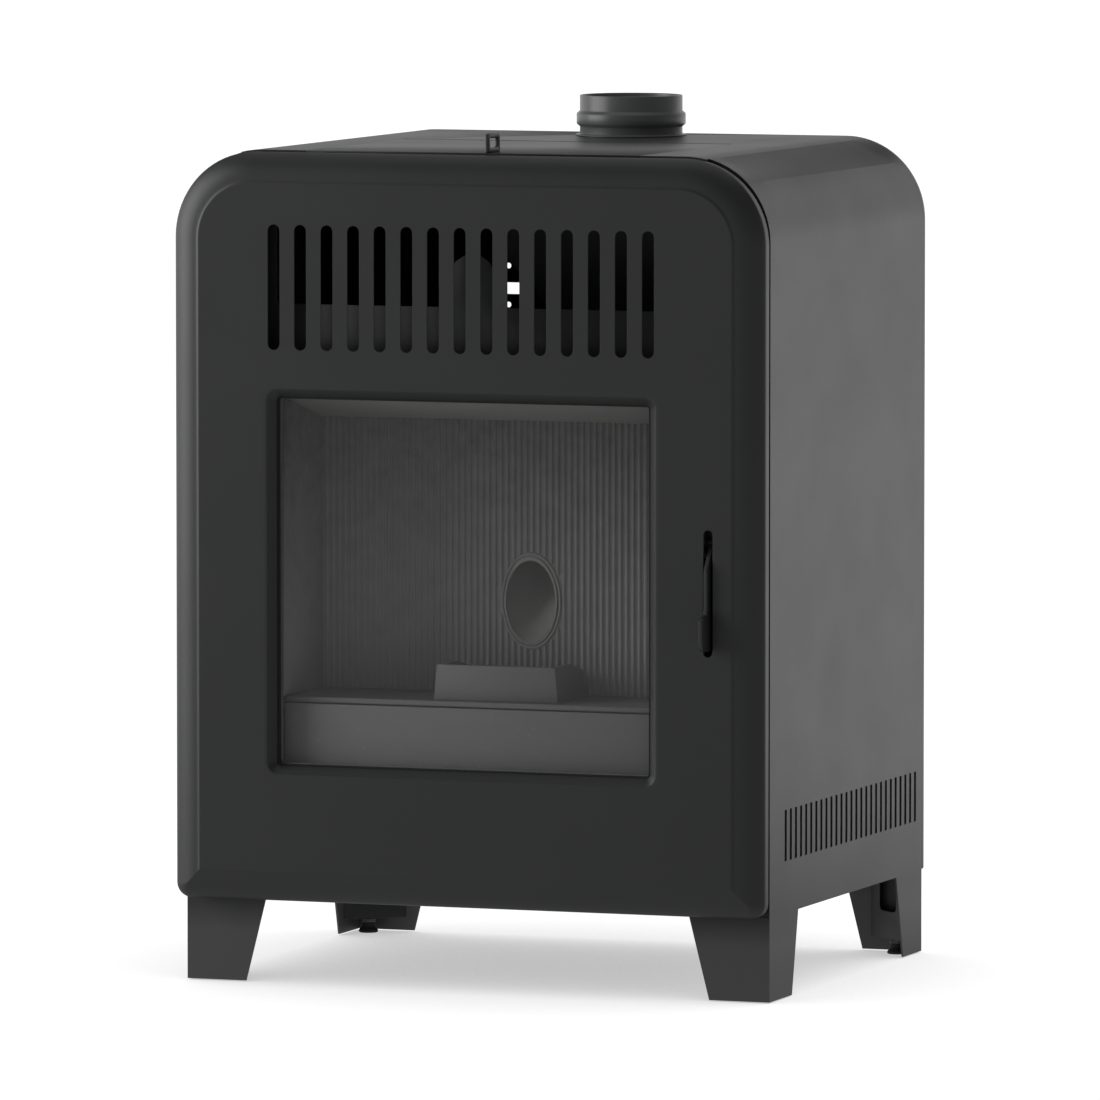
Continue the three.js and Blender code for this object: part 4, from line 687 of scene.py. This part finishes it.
def makeRopeSeal(r):
    # A knitted cord laid round the firebox mouth: its strands swell in two crossing directions.
    radius = r["topRadius"] - r["inset"]
    loop = roundedLoop(*outlineOf(r), inset=r["inset"], topSteps=6, footSteps=6)
    path = []
    for i, (x, z) in enumerate(loop):
        nextX, nextZ = loop[(i + 1) % len(loop)]
        steps = max(1, round(math.hypot(nextX - x, nextZ - z) / r["step"]))
        path += [(x + (nextX - x) * k / steps, z + (nextZ - z) * k / steps) for k in range(steps)]
    bm = bmesh.new()
    rings = []
    for k, (x, z) in enumerate(path):
        coreX = min(max(x, r["left"] + r["inset"] + radius), r["right"] - r["inset"] - radius)
        coreZ = min(max(z, r["bottom"] + r["inset"] + radius), r["top"] - r["inset"] - radius)
        out = Vector((x - coreX, z - coreZ)).normalized()
        ring = []
        for j in range(r["sides"]):
            angle = 2 * math.pi * j / r["sides"]
            along = 2 * math.pi * k * r["step"] / r["strand"]
            swell = 1 - r["knit"] + r["knit"] * (math.sin(along + 3 * angle) * math.sin(along - 3 * angle) + 0.5)
            reach = r["halfWidth"] * swell * math.cos(angle)
            ring.append(bm.verts.new(point(x + out.x * reach, r["middleY"] + r["halfDepth"] * swell * math.sin(angle),
                                           z + out.y * reach)))
        rings.append(ring)
    joinAll(bm, rings, True)
    settle(closedPiece("doorRope", bm, "glassFibreKnit", 60), "door_rope_seal")


makeRopeSeal(ropeShape)
print("rope seal made")

sideSheet = {
    "halfWidth": 245, "top": 663, "radius": 67, "roofEnd": 140, "roofFront": 10.3, "front": 18.5, "back": 400,
    "foot": 1, "underside": 67.5, "frontLegTop": 88.5, "frontLegFoot": 73.3, "rearLegTop": 334.6, "rearLegFoot": 353,
    "legTopWidth": 67, "legFootWidth": 50, "thickness": 1.5,
    "tabTurn": (0, 4.7, 9.4, 14.0),  # degrees round the corner that the roof's front tab follows
    "flatFrom": 14.5, "flatTo": 46,  # degrees between which the shoulder has a flat strip
    "flatFront": (51, 53.5), "flatBack": (361, 378),  # where the strip is fully flat, at its upper and lower edge
}
sideVents = {
    "count": 27, "start": 54, "end": 385, "width": 6.0, "bottom": 108.5, "top": 149,
    "tongue": {"width": 4.6, "thickness": 0.8, "slope": 11.3, "x": 244.1, "forward": 0.3, "edge": 0.15},
}
roofLedge = {"from": 130, "to": 142, "bottom": 659.7, "top": 661.2, "spans": ((23, 223), (231.5, 398)), "edge": 0.3}


def ventStarts():
    v = sideVents
    pitch = (v["end"] - v["start"] - v["width"]) / (v["count"] - 1)
    return [v["start"] + i * pitch for i in range(v["count"])]


def makeSidePanel(name, node, side):
    s = sideSheet
    bm = bmesh.new()
    cornerX, cornerZ = s["halfWidth"] - s["radius"], s["top"] - s["radius"]
    strip = s["flatTo"] - s["flatFrom"]
    turn = [*s["tabTurn"]] + [s["flatFrom"] + strip * i / 8 for i in range(9)]
    turn += [s["flatTo"] + (90 - s["flatTo"]) * i / 10 for i in range(1, 11)]

    def onArc(angle):
        return Vector((cornerX + s["radius"] * math.sin(math.radians(angle)),
                       cornerZ + s["radius"] * math.cos(math.radians(angle))))

    start, end = onArc(s["flatFrom"]), onArc(s["flatTo"])
    grid = []
    for angle in [None] + turn:
        share = 0 if angle is None else min(max((angle - s["flatFrom"]) / strip, 0), 1)
        spot = Vector((s["roofEnd"], s["top"])) if angle is None else onArc(angle)
        flat = start.lerp(end, share) if 0 < share < 1 else spot
        near, far = (low + (high - low) * share for low, high in (s["flatFront"], s["flatBack"]))
        row = []
        for edge, inner, order in ((s["front"], near, (0, 1, 2, 3)), (s["back"], far, (3, 2, 1, 0))):
            for k in order:
                at = spot.lerp(flat, k / 3)
                row.append(bm.verts.new(point(at.x * side, edge + (inner - edge) * k / 3, at.y)))
        if angle is None or angle <= s["tabTurn"][-1]:
            row.insert(0, bm.verts.new(point(spot.x * side, s["roofFront"], spot.y)))
        grid.append(row)
    for first, second in zip(grid, grid[1:]):
        if len(first) > len(second):
            first = first[1:]
        for k in range(len(second) - 1):
            bm.faces.new((first[k], first[k + 1], second[k + 1], second[k]))

    x = s["halfWidth"] * side
    outline = [(s["back"], s["underside"]), (s["back"], s["foot"]), (s["rearLegFoot"], s["foot"]),
               (s["rearLegTop"], s["underside"]), (s["frontLegTop"], s["underside"]), (s["frontLegFoot"], s["foot"]),
               (s["front"], s["foot"]), (s["front"], s["underside"])]
    lower = [bm.verts.new(point(x, y, z)) for y, z in outline]
    v = sideVents
    loops = [roundedLoop(y, y + v["width"], v["bottom"], v["top"], 1.0, 1.0, topSteps=3, footSteps=3)
             for y in ventStarts()]
    fillBetween(bm, [grid[-1] + lower] + [[bm.verts.new(point(x, y, z)) for y, z in loop] for loop in loops])

    # the legs' front and back faces
    for shoulder, foot, y in ((lower[7], lower[6], s["front"]), (lower[0], lower[1], s["back"])):
        inner = [bm.verts.new(point((s["halfWidth"] - s[width]) * side, y, s[height]))
                 for width, height in (("legTopWidth", "underside"), ("legFootWidth", "foot"))]
        bm.faces.new((shoulder, *inner, foot))
    faceOut(bm, (side, 0, 0))
    panel = pieceFrom(name, bm, "powderCoatedSteel", 12)
    settle(thickened(panel, s["thickness"], 12), node)


def makeVentTongues(name, node, side):
    # A tongue sheared inwards in every vent slot, so that the slot shows metal and not only the dark.
    v, t = sideVents, sideVents["tongue"]
    size = (t["thickness"], t["width"], v["top"] - v["bottom"])
    tongue = cutPlate("ventTongue", "powderCoatedSteel", size, t["edge"])
    spots = [repeatSpot((t["x"] * side, y + t["width"] / 2 - t["forward"], (v["top"] + v["bottom"]) / 2),
                        (0, 0, t["slope"] * side)) for y in ventStarts()]
    settle(repeated(name, "powderCoatedSteel", tongue, spots), node, replaced=False)


def makeRoofLedges(ledge):
    # Joggled strips under the roof's edges that carry the lid and the rear top cover.
    bm = bmesh.new()
    for side in (-1, 1):
        for y0, y1 in ledge["spans"]:
            addBlock(bm, *sorted((ledge["from"] * side, ledge["to"] * side)), y0, y1, ledge["bottom"], ledge["top"])
    ledges = bevelled(closedPiece("roofLedges", bm, "powderCoatedSteel"), ledge["edge"])
    settle(ledges, "right_side_panel", replaced=False)


for sideName, side in (("right", 1), ("left", -1)):
    makeSidePanel(sideName + "WrapPanel", sideName + "_side_panel", side)
for sideName, side in (("right", 1), ("left", -1)):
    makeVentTongues(sideName + "VentTongues", sideName + "_side_panel", side)
makeRoofLedges(roofLedge)
print("side panels made")

backSheet = {
    "left": -245, "right": 245, "bottom": 67.5, "top": 663, "topRadius": 67, "footRadius": 1.6,
    "profile": [  # inset and y: the side of the tray, its rolled edge, a raised border and the sunk field
        (0, 400.3), (0, 405.2), (0.25, 406.1), (0.9, 406.75), (1.8, 407), (6.5, 407), (7.3, 406.8), (7.9, 406.3),
        (8.5, 405.8), (9.2, 405.6), (12, 405.6),
    ],
    "field": 405.6, "thickness": 1.5,
    "louvres": {"columns": 6, "rows": 2, "left": -168, "bottom": 83, "width": 36, "height": 6, "pitchX": 46,
                "pitchZ": 15},
    "blade": {"gap": 0.4, "depth": 7.5, "thickness": 1.2, "y": 401.4, "up": 3.4, "slope": 38, "edge": 0.3},
    "cableSlot": (-110, 533.5, 18, 9.5),  # x and z of the middle, width and height
    "cableHoles": ((-106, 562.5), (-86, 563), (-114, 552), (-114, 520)), "cableHole": 2.4,  # radius
    "airPipe": (90, 180, 25.5), "inlet": (185.7, 222.3, 85.7, 150.3),
}


def louvrePlaces():
    v = backSheet["louvres"]
    return [(v["left"] + column * v["pitchX"], v["bottom"] + row * v["pitchZ"])
            for column in range(v["columns"]) for row in range(v["rows"])]


def makeBackCover():
    s = backSheet
    bm = bmesh.new()
    rings = [addRing(bm, roundedLoop(*outlineOf(s), inset=inset, topSteps=20, footSteps=4), y)
             for inset, y in s["profile"]]
    joinAll(bm, rings)
    v = s["louvres"]
    loops = [roundedLoop(x, x + v["width"], z, z + v["height"], 1.5, 1.5, topSteps=3, footSteps=3)
             for x, z in louvrePlaces()]
    x, z, width, height = s["cableSlot"]
    loops.append(roundedLoop(x - width / 2, x + width / 2, z - height / 2, z + height / 2, 4.5, 4.5, topSteps=6))
    loops += [arc(x, z, s["cableHole"], 0, 345, 23) for x, z in s["cableHoles"]]
    x, z, radius = s["airPipe"]
    loops.append(arc(x, z, radius, 0, 354, 59))
    loops.append(roundedLoop(*s["inlet"], 1.2, 1.2, topSteps=3, footSteps=3))
    fillBetween(bm, [rings[-1]] + [addRing(bm, loop, s["field"]) for loop in loops])
    faceOut(bm, (0, 1, 0))
    cover = pieceFrom("rearPressedCover", bm, "powderCoatedSteel", 24)
    settle(thickened(cover, s["thickness"], 24), "rear_cover")


def makeLouvreBlades():
    # Each louvre's tongue slopes down and inwards behind its slot.
    v, b = backSheet["louvres"], backSheet["blade"]
    blade = cutPlate("louvreBlade", "powderCoatedSteel", (v["width"] - b["gap"], b["depth"], b["thickness"]), b["edge"])
    spots = [repeatSpot((x + v["width"] / 2, b["y"], z + b["up"]), (b["slope"], 0, 0)) for x, z in louvrePlaces()]
    settle(repeated("louvreBlades", "powderCoatedSteel", blade, spots), "rear_cover", replaced=False)


makeBackCover()
makeLouvreBlades()
print("rear cover made")

collarShape = {
    "spot": (12, 350), "turns": 96,
    "profile": [  # radius and height: inner sleeve, flange on the roof, neck, rolled bead, socket and its lip
        (40.3, 641), (41.7, 641), (41.7, 663.1), (44.6, 663.1), (45.0, 663.4), (45.0, 664.0), (44.6, 664.4),
        (42.1, 664.6), (41.7, 665.0), (41.7, 670.2), (41.9, 670.8), (44.0, 672.4), (44.35, 673.2), (44.35, 680.6),
        (44.0, 681.4), (41.9, 683.2), (41.7, 683.8), (41.7, 695.4), (41.5, 695.9), (41.0, 696), (40.6, 695.9),
        (40.3, 695.4),
    ],
}
pipeShape = {
    "spot": collarShape["spot"], "turns": 72,
    "profile": [(38.5, 236.4), (38.9, 236), (39.6, 236), (40, 236.4), (40, 300), (40.25, 301), (40.25, 304), (40, 305),
                (40, 664.5), (39.5, 665), (38.9, 665), (38.5, 664.5)],
}
airPipeShape = {
    "spot": (90, 180), "turns": 56,
    "profile": [(23.5, 107.6), (24, 107.3), (25, 107.8), (25, 398), (25.35, 399), (25.35, 401), (25, 402), (25, 406.4),
                (24.5, 407), (23.9, 407), (23.5, 406.4)],
}
for name, finish, shape, axis, node in (("flueSocket", "fluePaintedSheen", collarShape, "z", "flue_collar"),
                                        ("innerFluePipe", "galvanisedSteel", pipeShape, "z", "flue_pipe"),
                                        ("combustionAirPipe", "galvanisedSteel", airPipeShape, "y", "air_intake_pipe")):
    settle(turnedPiece(name, finish, shape["profile"], shape["spot"], shape["turns"], axis), node)
print("pipes and collar made")

footShape = {
    "x": 229.7, "frontY": 35.3, "rearY": 383.2,
    "pad": [(0, 0), (7.3, 0), (8, 0.6), (8, 1.7), (7.6, 2.4), (6.6, 3.5), (5.2, 4.6), (4.7, 6.2), (4.7, 7.4), (0, 7.4)],
    "stud": {"radius": 4.0, "depth": 0.45, "pitch": 1.25, "from": 7.4, "to": 30, "tip": 0.8},
    "nuts": ((8.6, 3.1), (13.5, 3.1)), "nutReach": 6.5, "nutEdge": (0.94, 0.4),  # the share and height of its chamfer
}


def makeFoot(node, x, y):
    f = footShape
    settle(turnedPiece(node + "Pad", "footRubber", f["pad"], (x, y), 36), node)
    s = f["stud"]
    thread = [(0, s["from"]), (s["radius"] - s["depth"], s["from"])]
    height = s["from"] + 0.3
    while height < s["to"] - s["pitch"] - 0.4:
        thread += [(s["radius"] - s["depth"], height), (s["radius"], height + s["pitch"] / 2)]
        height += s["pitch"]
    thread += [(s["radius"] - s["depth"], height), (s["radius"] - s["tip"], s["to"]), (0, s["to"])]
    # The stud and nuts wear the dark powder coat rather than bright plating: painted shade, as they stand in the
    # stove's shadow.
    parts = [turnedPiece(node + "Stud", "powderCoatedSteel", thread, (x, y), 24)]
    narrow, edge = f["nutEdge"]
    hexagon = [math.radians(60 * i) for i in range(6)]
    for bottom, height in f["nuts"]:
        bm = bmesh.new()
        rings = []
        top = bottom + height
        for share, z in ((narrow, bottom), (1.0, bottom + edge), (1.0, top - edge), (narrow, top)):
            rings.append([bm.verts.new(point(x + f["nutReach"] * share * math.cos(angle),
                                             y + f["nutReach"] * share * math.sin(angle), z)) for angle in hexagon])
        joinCapped(bm, rings)
        parts.append(closedPiece(node + "Nut", bm, "powderCoatedSteel"))
    fixing = joinedPiece(node + "StudAndNuts", parts, "powderCoatedSteel")
    settle(fixing, node, replaced=False)


for end, y in (("front", footShape["frontY"]), ("rear", footShape["rearY"])):
    for sideName, side in (("left", -1), ("right", 1)):
        makeFoot(f"{end}_{sideName}_foot", footShape["x"] * side, y)
print("levelling feet made")

leverShape = {
    "x": 203.7, "thickness": 3.0,
    "outline": [  # y and z of the flat bar, from the finger blade round to the latch nose
        (-16.2, 341), (-16.2, 309), (-17.7, 306.6), (-25.6, 305.5), (-28.6, 302.5), (-28.6, 283.5), (-26, 280),
        (-20.6, 278.5), (-4, 278.5), (-4, 336), (8, 344), (17.5, 349), (17.5, 356.5), (6, 359), (-2, 361), (-6, 357),
        (-11, 349.5),
    ],
    "corner": 1.6, "edge": 0.4,
}


def makeLever(bar):
    bm = bmesh.new()
    left = bar["x"] - bar["thickness"] / 2
    face = bm.faces.new([bm.verts.new(point(left, y, z)) for y, z in bar["outline"]])
    bmesh.ops.bevel(bm, geom=list(face.verts), offset=bar["corner"] * mm, segments=4, affect="VERTICES", profile=0.5)
    flat = max(bm.faces, key=lambda item: item.calc_area())
    grown = bmesh.ops.extrude_face_region(bm, geom=[flat])["geom"]
    moved = [item for item in grown if isinstance(item, bmesh.types.BMVert)]
    bmesh.ops.translate(bm, vec=(bar["thickness"] * mm, 0, 0), verts=moved)
    settle(bevelled(closedPiece("leverBar", bm, "powderCoatedSteel"), bar["edge"], angle=60), "door_handle")


makeLever(leverShape)
print("lever made")

backPlate = {
    "left": -160.2, "right": 160.2, "bottom": 229.8, "top": 466, "face": 97, "valley": 99, "thickness": 4.7,
    "pitch": 5.3, "ribs": 60, "ribWidth": 3.0, "ribGap": 0.5,
    "oval": {"x": 17.5, "z": 304, "boss": (25.4, 38.6), "hole": (23.2, 36.1)},
    "igniter": (13.5, 243, 5.5), "igniterClear": 7, "ribFoot": 249.5,  # ribs near the igniter's hole start above it
}


def ovalLoop(halfX, halfZ, steps=48):
    o = backPlate["oval"]
    return [(o["x"] + halfX * math.cos(2 * math.pi * i / steps), o["z"] + halfZ * math.sin(2 * math.pi * i / steps))
            for i in range(steps)]


def makeBackPlate():
    p, o = backPlate, backPlate["oval"]
    bm = bmesh.new()
    outside = addRing(bm, [(p["left"], p["bottom"]), (p["right"], p["bottom"]), (p["right"], p["top"]),
                           (p["left"], p["top"])], p["valley"])
    bossX, bossZ = o["boss"]
    holeX, holeZ = o["hole"]
    rim = [addRing(bm, ovalLoop(bossX - inset, bossZ - inset), y)
           for inset, y in ((0, p["valley"]), (0.1, p["face"] + 0.5), (0.6, p["face"]))]
    rim += [addRing(bm, ovalLoop(holeX + inset, holeZ + inset), y)
            for inset, y in ((0.6, p["face"]), (0.1, p["face"] + 0.5), (0, p["valley"]))]
    joinAll(bm, rim)
    fillBetween(bm, [outside, rim[0], addRing(bm, arc(*p["igniter"], 0, 345, 23), p["valley"])])
    faceOut(bm, (0, -1, 0))
    plate = thickened(pieceFrom("plateBody", bm, "vermiculitePlate"), p["thickness"])

    bm = bmesh.new()
    half, depth = p["ribWidth"] / 2, p["valley"] - p["face"]
    section = [(half * math.cos(math.radians(a)), -depth * math.sin(math.radians(a))) for a in range(0, 181, 30)]
    joinCapped(bm, [[bm.verts.new(Vector((x * mm, y * mm, z))) for x, y in section] for z in (-0.5, 0.5)])
    rib = closedPiece("rib", bm, "vermiculitePlate", 50)
    spots = []
    for i in range(p["ribs"]):
        x = (i - (p["ribs"] - 1) / 2) * p["pitch"]
        spans = [(p["bottom"] + p["ribGap"], p["top"] - p["ribGap"])]
        if abs(x - o["x"]) < bossX + 1:
            away = bossZ * math.sqrt(max(0, 1 - ((x - o["x"]) / (bossX + 1)) ** 2)) + 0.6
            spans = [(spans[0][0], o["z"] - away), (o["z"] + away, spans[0][1])]
        for low, high in spans:
            if low < p["ribFoot"] and abs(x - p["igniter"][0]) < p["igniterClear"]:
                low = p["ribFoot"]
            spots.append(repeatSpot((x, p["valley"], (low + high) / 2), scale=(1, 1, (high - low) * mm)))
    ribs = repeated("ribs", "vermiculitePlate", rib, spots, smoothAngle=50)
    settle(joinedPiece("ribbedBackPlate", [plate, ribs], "vermiculitePlate", 40), "ribbed_back_plate")


makeBackPlate()
print("ribbed back plate made")

fins = {"count": 13, "reach": 150, "front": 32, "back": 104, "bottom": 477.3, "base": 3, "height": 52, "thickness": 3,
        "overhang": 2, "baseEdge": 0.6, "finEdge": 1.0}


def makeHeatExchanger(f):
    bm = bmesh.new()
    side, over = f["reach"] + f["overhang"], f["overhang"]
    addBlock(bm, -side, side, f["front"] - over, f["back"] + over, f["bottom"], f["bottom"] + f["base"])
    base = bevelled(closedPiece("finBase", bm, "heatProofPaint"), f["baseEdge"])
    fin = cutPlate("fin", "heatProofPaint", (f["thickness"], f["back"] - f["front"], f["height"]), f["finEdge"])
    y, z = (f["front"] + f["back"]) / 2, f["bottom"] + f["height"] / 2
    spots = [repeatSpot((-f["reach"] + 2 * f["reach"] * i / (f["count"] - 1), y, z)) for i in range(f["count"])]
    row = repeated("fins", "heatProofPaint", fin, spots)
    settle(joinedPiece("castFins", [base, row], "heatProofPaint"), "heat_exchanger")


makeHeatExchanger(fins)

chute = {"spot": (17.5, 97, 304), "angle": 50, "radius": 22.5, "wall": 1.5, "mouth": 96.5, "tube": (192, 434, 31.8),
         "turns": 48}


def makeChute(c):
    # A slanted tube, cut upright at the back plate and round at the auger's tube.
    x0, y0, z0 = c["spot"]
    down = math.radians(c["angle"])
    tubeY, tubeZ, tubeRadius = c["tube"]
    bm = bmesh.new()
    ends = []
    for radius in (c["radius"], c["radius"] - c["wall"]):
        low, high = [], []
        for i in range(c["turns"]):
            angle = 2 * math.pi * i / c["turns"]
            dx, dn = radius * math.cos(angle), radius * math.sin(angle)
            y, z = y0 - dn * math.sin(down), z0 + dn * math.cos(down)
            reach = (c["mouth"] - y) / math.cos(down)
            low.append(bm.verts.new(point(x0 + dx, y + reach * math.cos(down), z + reach * math.sin(down))))
            # where the line through this point meets the round tube
            oy, oz = y - tubeY, z - tubeZ
            b = oy * math.cos(down) + oz * math.sin(down)
            inside = b * b - (oy * oy + oz * oz - tubeRadius ** 2)
            far = -b - math.sqrt(max(inside, 0))
            high.append(bm.verts.new(point(x0 + dx, y + far * math.cos(down), z + far * math.sin(down))))
        ends.append((low, high))
    (lowOut, highOut), (lowIn, highIn) = ends
    joinAll(bm, [lowIn, lowOut, highOut, highIn], True)
    settle(closedPiece("chuteTube", bm, "ashedSteel", 40), "pellet_chute")


makeChute(chute)
print("heat exchanger and chute made")

auger = {"y": 192, "z": 434, "left": -16, "right": 142, "pitch": 45, "shaft": 8, "flight": 27, "thickness": 3,
         "shaftFrom": -21, "shaftTo": 158, "steps": 36, "edge": 0.8}


def makeAuger(a):
    bm = bmesh.new()
    turns = (a["right"] - a["left"] - a["thickness"]) / a["pitch"]
    steps = math.ceil(turns * a["steps"])
    root, rim, thick, edge = a["shaft"] - a["edge"], a["flight"], a["thickness"], a["edge"]
    section = [(root, 0), (rim - 0.6, 0.3), (rim, edge), (rim, thick - edge), (rim - 0.6, thick - 0.3), (root, thick)]
    rings = []
    for i in range(steps + 1):
        angle = 2 * math.pi * turns * i / steps
        x = a["left"] + turns * a["pitch"] * i / steps
        rings.append([bm.verts.new(point(x + dx, a["y"] + r * math.cos(angle), a["z"] + r * math.sin(angle)))
                      for r, dx in section])
    joinCapped(bm, rings)
    flight = closedPiece("flight", bm, "zincPlatedSteel")
    low, high = a["shaftFrom"], a["shaftTo"]
    profile = [(0, low), (root, low), (a["shaft"], low + edge), (a["shaft"], high - edge), (root, high), (0, high)]
    shaft = turnedPiece("shaft", "zincPlatedSteel", profile, (a["y"], a["z"]), 40, "x")
    settle(joinedPiece("augerScrew", [flight, shaft], "zincPlatedSteel", 35), "auger_screw")


makeAuger(auger)

drum = {"y": 175, "z": 104, "left": -146, "right": 96, "radius": 26, "shaft": 4, "shaftFrom": -149.5, "shaftTo": 110,
        "disc": 2, "edge": 0.4, "blades": 24, "bladeWidth": 8, "bladeTilt": 35, "bladeBow": 1.1, "bladeIn": 4.6,
        "bladeSheet": 0.8}


def makeDrum(d):
    parts = []
    spot, length = (d["y"], d["z"]), d["right"] - d["left"]
    rim, thick, edge = d["radius"], d["disc"], d["edge"]
    for x in (d["left"], d["left"] + (length - thick) / 2, d["right"] - thick):
        back = x + thick
        profile = [(0, x), (rim - 0.3, x), (rim, x + edge), (rim, back - edge), (rim - 0.3, back), (0, back)]
        parts.append(turnedPiece("disc", "zincPlatedSteel", profile, spot, 48, "x"))
    profile = [(0, d["shaftFrom"]), (d["shaft"], d["shaftFrom"] + edge), (d["shaft"], d["shaftTo"] - edge),
               (0, d["shaftTo"])]
    parts.append(turnedPiece("shaft", "zincPlatedSteel", profile, spot, 24, "x"))
    bm = bmesh.new()
    width, half = d["bladeWidth"], length / 2 - 1
    bow = [(-width / 2 + width * i / 4, d["bladeBow"] * math.sin(math.pi * i / 4)) for i in range(5)]
    rings = [[bm.verts.new(Vector((x * mm, y * mm, z * mm))) for y, z in bow] for x in (-half, half)]
    for i in range(4):
        bm.faces.new((rings[0][i], rings[0][i + 1], rings[1][i + 1], rings[1][i]))
    blade = thickened(pieceFrom("blade", bm, "zincPlatedSteel"), d["bladeSheet"])
    spots = []
    reach = rim - d["bladeIn"]
    for i in range(d["blades"]):
        degrees = 360 * i / d["blades"]
        angle = math.radians(degrees)
        spots.append(repeatSpot(((d["left"] + d["right"]) / 2, d["y"] + reach * math.cos(angle),
                                 d["z"] + reach * math.sin(angle)), (degrees + d["bladeTilt"], 0, 0)))
    parts.append(repeated("drumBlades", "zincPlatedSteel", blade, spots))
    settle(joinedPiece("tangentialDrum", parts, "zincPlatedSteel", 35), "room_fan_drum")


makeDrum(drum)

wheel = {"x": -50, "z": 180, "radius": 50, "disc": 3, "hub": 16, "shaft": 4, "front": 334, "back": 364, "shaftTo": 384,
         "blades": 8, "blade": (36, 32, 2.5), "bladeEdge": 0.6, "bladeReach": 31, "bladeForward": 17}


def makeWheel(w):
    rim, hub, shaft, front, back = w["radius"], w["hub"], w["shaft"], w["front"], w["back"]
    profiles = {
        "wheelDisc": (64, [(0, back - w["disc"]), (rim - 0.5, back - w["disc"]), (rim, back - 2.4), (rim, back - 0.5),
                           (rim - 0.5, back), (0, back)]),
        "hub": (40, [(0, front), (hub - 4, front), (hub, front + 3), (hub, back - 2), (0, back - 2)]),
        "wheelShaft": (24, [(0, back - 1), (shaft, back - 1), (shaft, w["shaftTo"] - 0.5), (0, w["shaftTo"])]),
    }
    parts = [turnedPiece(name, "zincPlatedSteel", profile, (w["x"], w["z"]), turns, "y")
             for name, (turns, profile) in profiles.items()]
    blade = cutPlate("wheelBlade", "zincPlatedSteel", w["blade"], w["bladeEdge"])
    spots = []
    for i in range(w["blades"]):
        degrees = 360 * i / w["blades"]
        angle = math.radians(degrees)
        spots.append(repeatSpot((w["x"] + w["bladeReach"] * math.cos(angle), back - w["bladeForward"],
                                 w["z"] - w["bladeReach"] * math.sin(angle)), (0, degrees, 0)))
    parts.append(repeated("wheelBlades", "zincPlatedSteel", blade, spots))
    settle(joinedPiece("smokeFanWheel", parts, "zincPlatedSteel", 35), "exhaust_impeller")


makeWheel(wheel)
print("auger, drum and fan wheel made")

screw = {"radius": 3.6, "height": 1.9, "key": 1.9, "turns": 24}
screwPlaces = {  # the side they face, their depth, and x and z of each
    "rear_cover": ("back", 405.6, [
        (-229, 130), (-229, 240), (-229, 350), (-229, 460), (-229, 570), (229, 200), (229, 320), (229, 440), (229, 570),
        (-150, 647), (0, 647), (150, 647), (-205, 82), (130, 82),
    ]),
    "front_frame": ("front", 20.0, [
        (-228, 100), (-228, 250), (-228, 420), (232, 100), (232, 230), (232, 450), (232, 590), (-150, 650), (150, 650),
        (-120, 80), (120, 80),
    ]),
    "upper_hinge_bracket": ("front", 18.4, [(-219, 568), (-219, 583)]),
    "lower_hinge_bracket": ("front", 18.4, [(-219, 138), (-219, 153)]),
    "exhaust_fan_housing": ("back", 376.0, arc(-50, 180, 51, 30, 330, 5)),
    "door_inner_frame": ("back", 4.4, [
        (-187, 180), (-187, 320), (-187, 460), (187, 180), (187, 430), (-120, 124), (0, 124), (120, 124), (-120, 493.3),
        (0, 493.3), (120, 493.3), (-226, 95), (226, 95), (-222, 615), (222, 615), (0, 638),
    ]),
}
trayScrews = {"under": 67.8, "places": [(x, y) for y in (34, 388) for x in (-150, 0, 150)]}


def screwHead():
    # Low button head with a hexagon socket, standing on its own origin.
    s = screw
    bm = bmesh.new()
    rings = []
    key = s["key"] / s["radius"]
    for share, height, hexagon in ((0.98, 0, 0), (1.0, 0.25, 0), (0.92, 0.62, 0), (0.76, 0.88, 0), (0.62, 1.0, 0),
                                   (key, 1.0, 1), (key, 0.35, 1)):
        ring = []
        for i in range(s["turns"]):
            degrees = 360 * i / s["turns"]
            corner = math.cos(math.radians(30)) / math.cos(math.radians(degrees % 60 - 30)) if hexagon else 1
            radius, angle = s["radius"] * share * corner, math.radians(degrees)
            ring.append(bm.verts.new(Vector((radius * math.cos(angle) * mm, radius * math.sin(angle) * mm,
                                             s["height"] * height * mm))))
        rings.append(ring)
    joinCapped(bm, rings)
    return closedPiece("screwHead", bm, "zincPlatedSteel")


def makeScrews():
    perBody = {}
    for node, (side, depth, places) in screwPlaces.items():
        spots = [repeatSpot((x, depth, z), facings[side]) for x, z in places]
        perBody.setdefault(bodyOf[node], []).extend(spots)
    perBody[bodyOf["base_tray"]] += [repeatSpot((x, y, trayScrews["under"]), facings["down"])
                                     for x, y in trayScrews["places"]]
    for body, spots in perBody.items():
        heads = repeated(body + "Screws", "zincPlatedSteel", screwHead(), spots, spin=math.tau)
        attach(heads, body)
    print("screws made:", sum(len(spots) for spots in perBody.values()))


makeScrews()

inletPins = {"places": [(198, 92.5, 3, 6), (207.5, 92.5, 3, 6), (202.6, 101.5, 3, 5)], "from": 391, "to": 403,
             "edge": 0.5}


def makeInletPins(p):
    bm = bmesh.new()
    for x, z, width, height in p["places"]:
        addBlock(bm, x, x + width, p["from"], p["to"], z, z + height)
    pins = bevelled(closedPiece("inletPins", bm, "zincPlatedSteel"), p["edge"])
    settle(pins, "mains_inlet", replaced=False)


makeInletPins(inletPins)
print("inlet pins made")
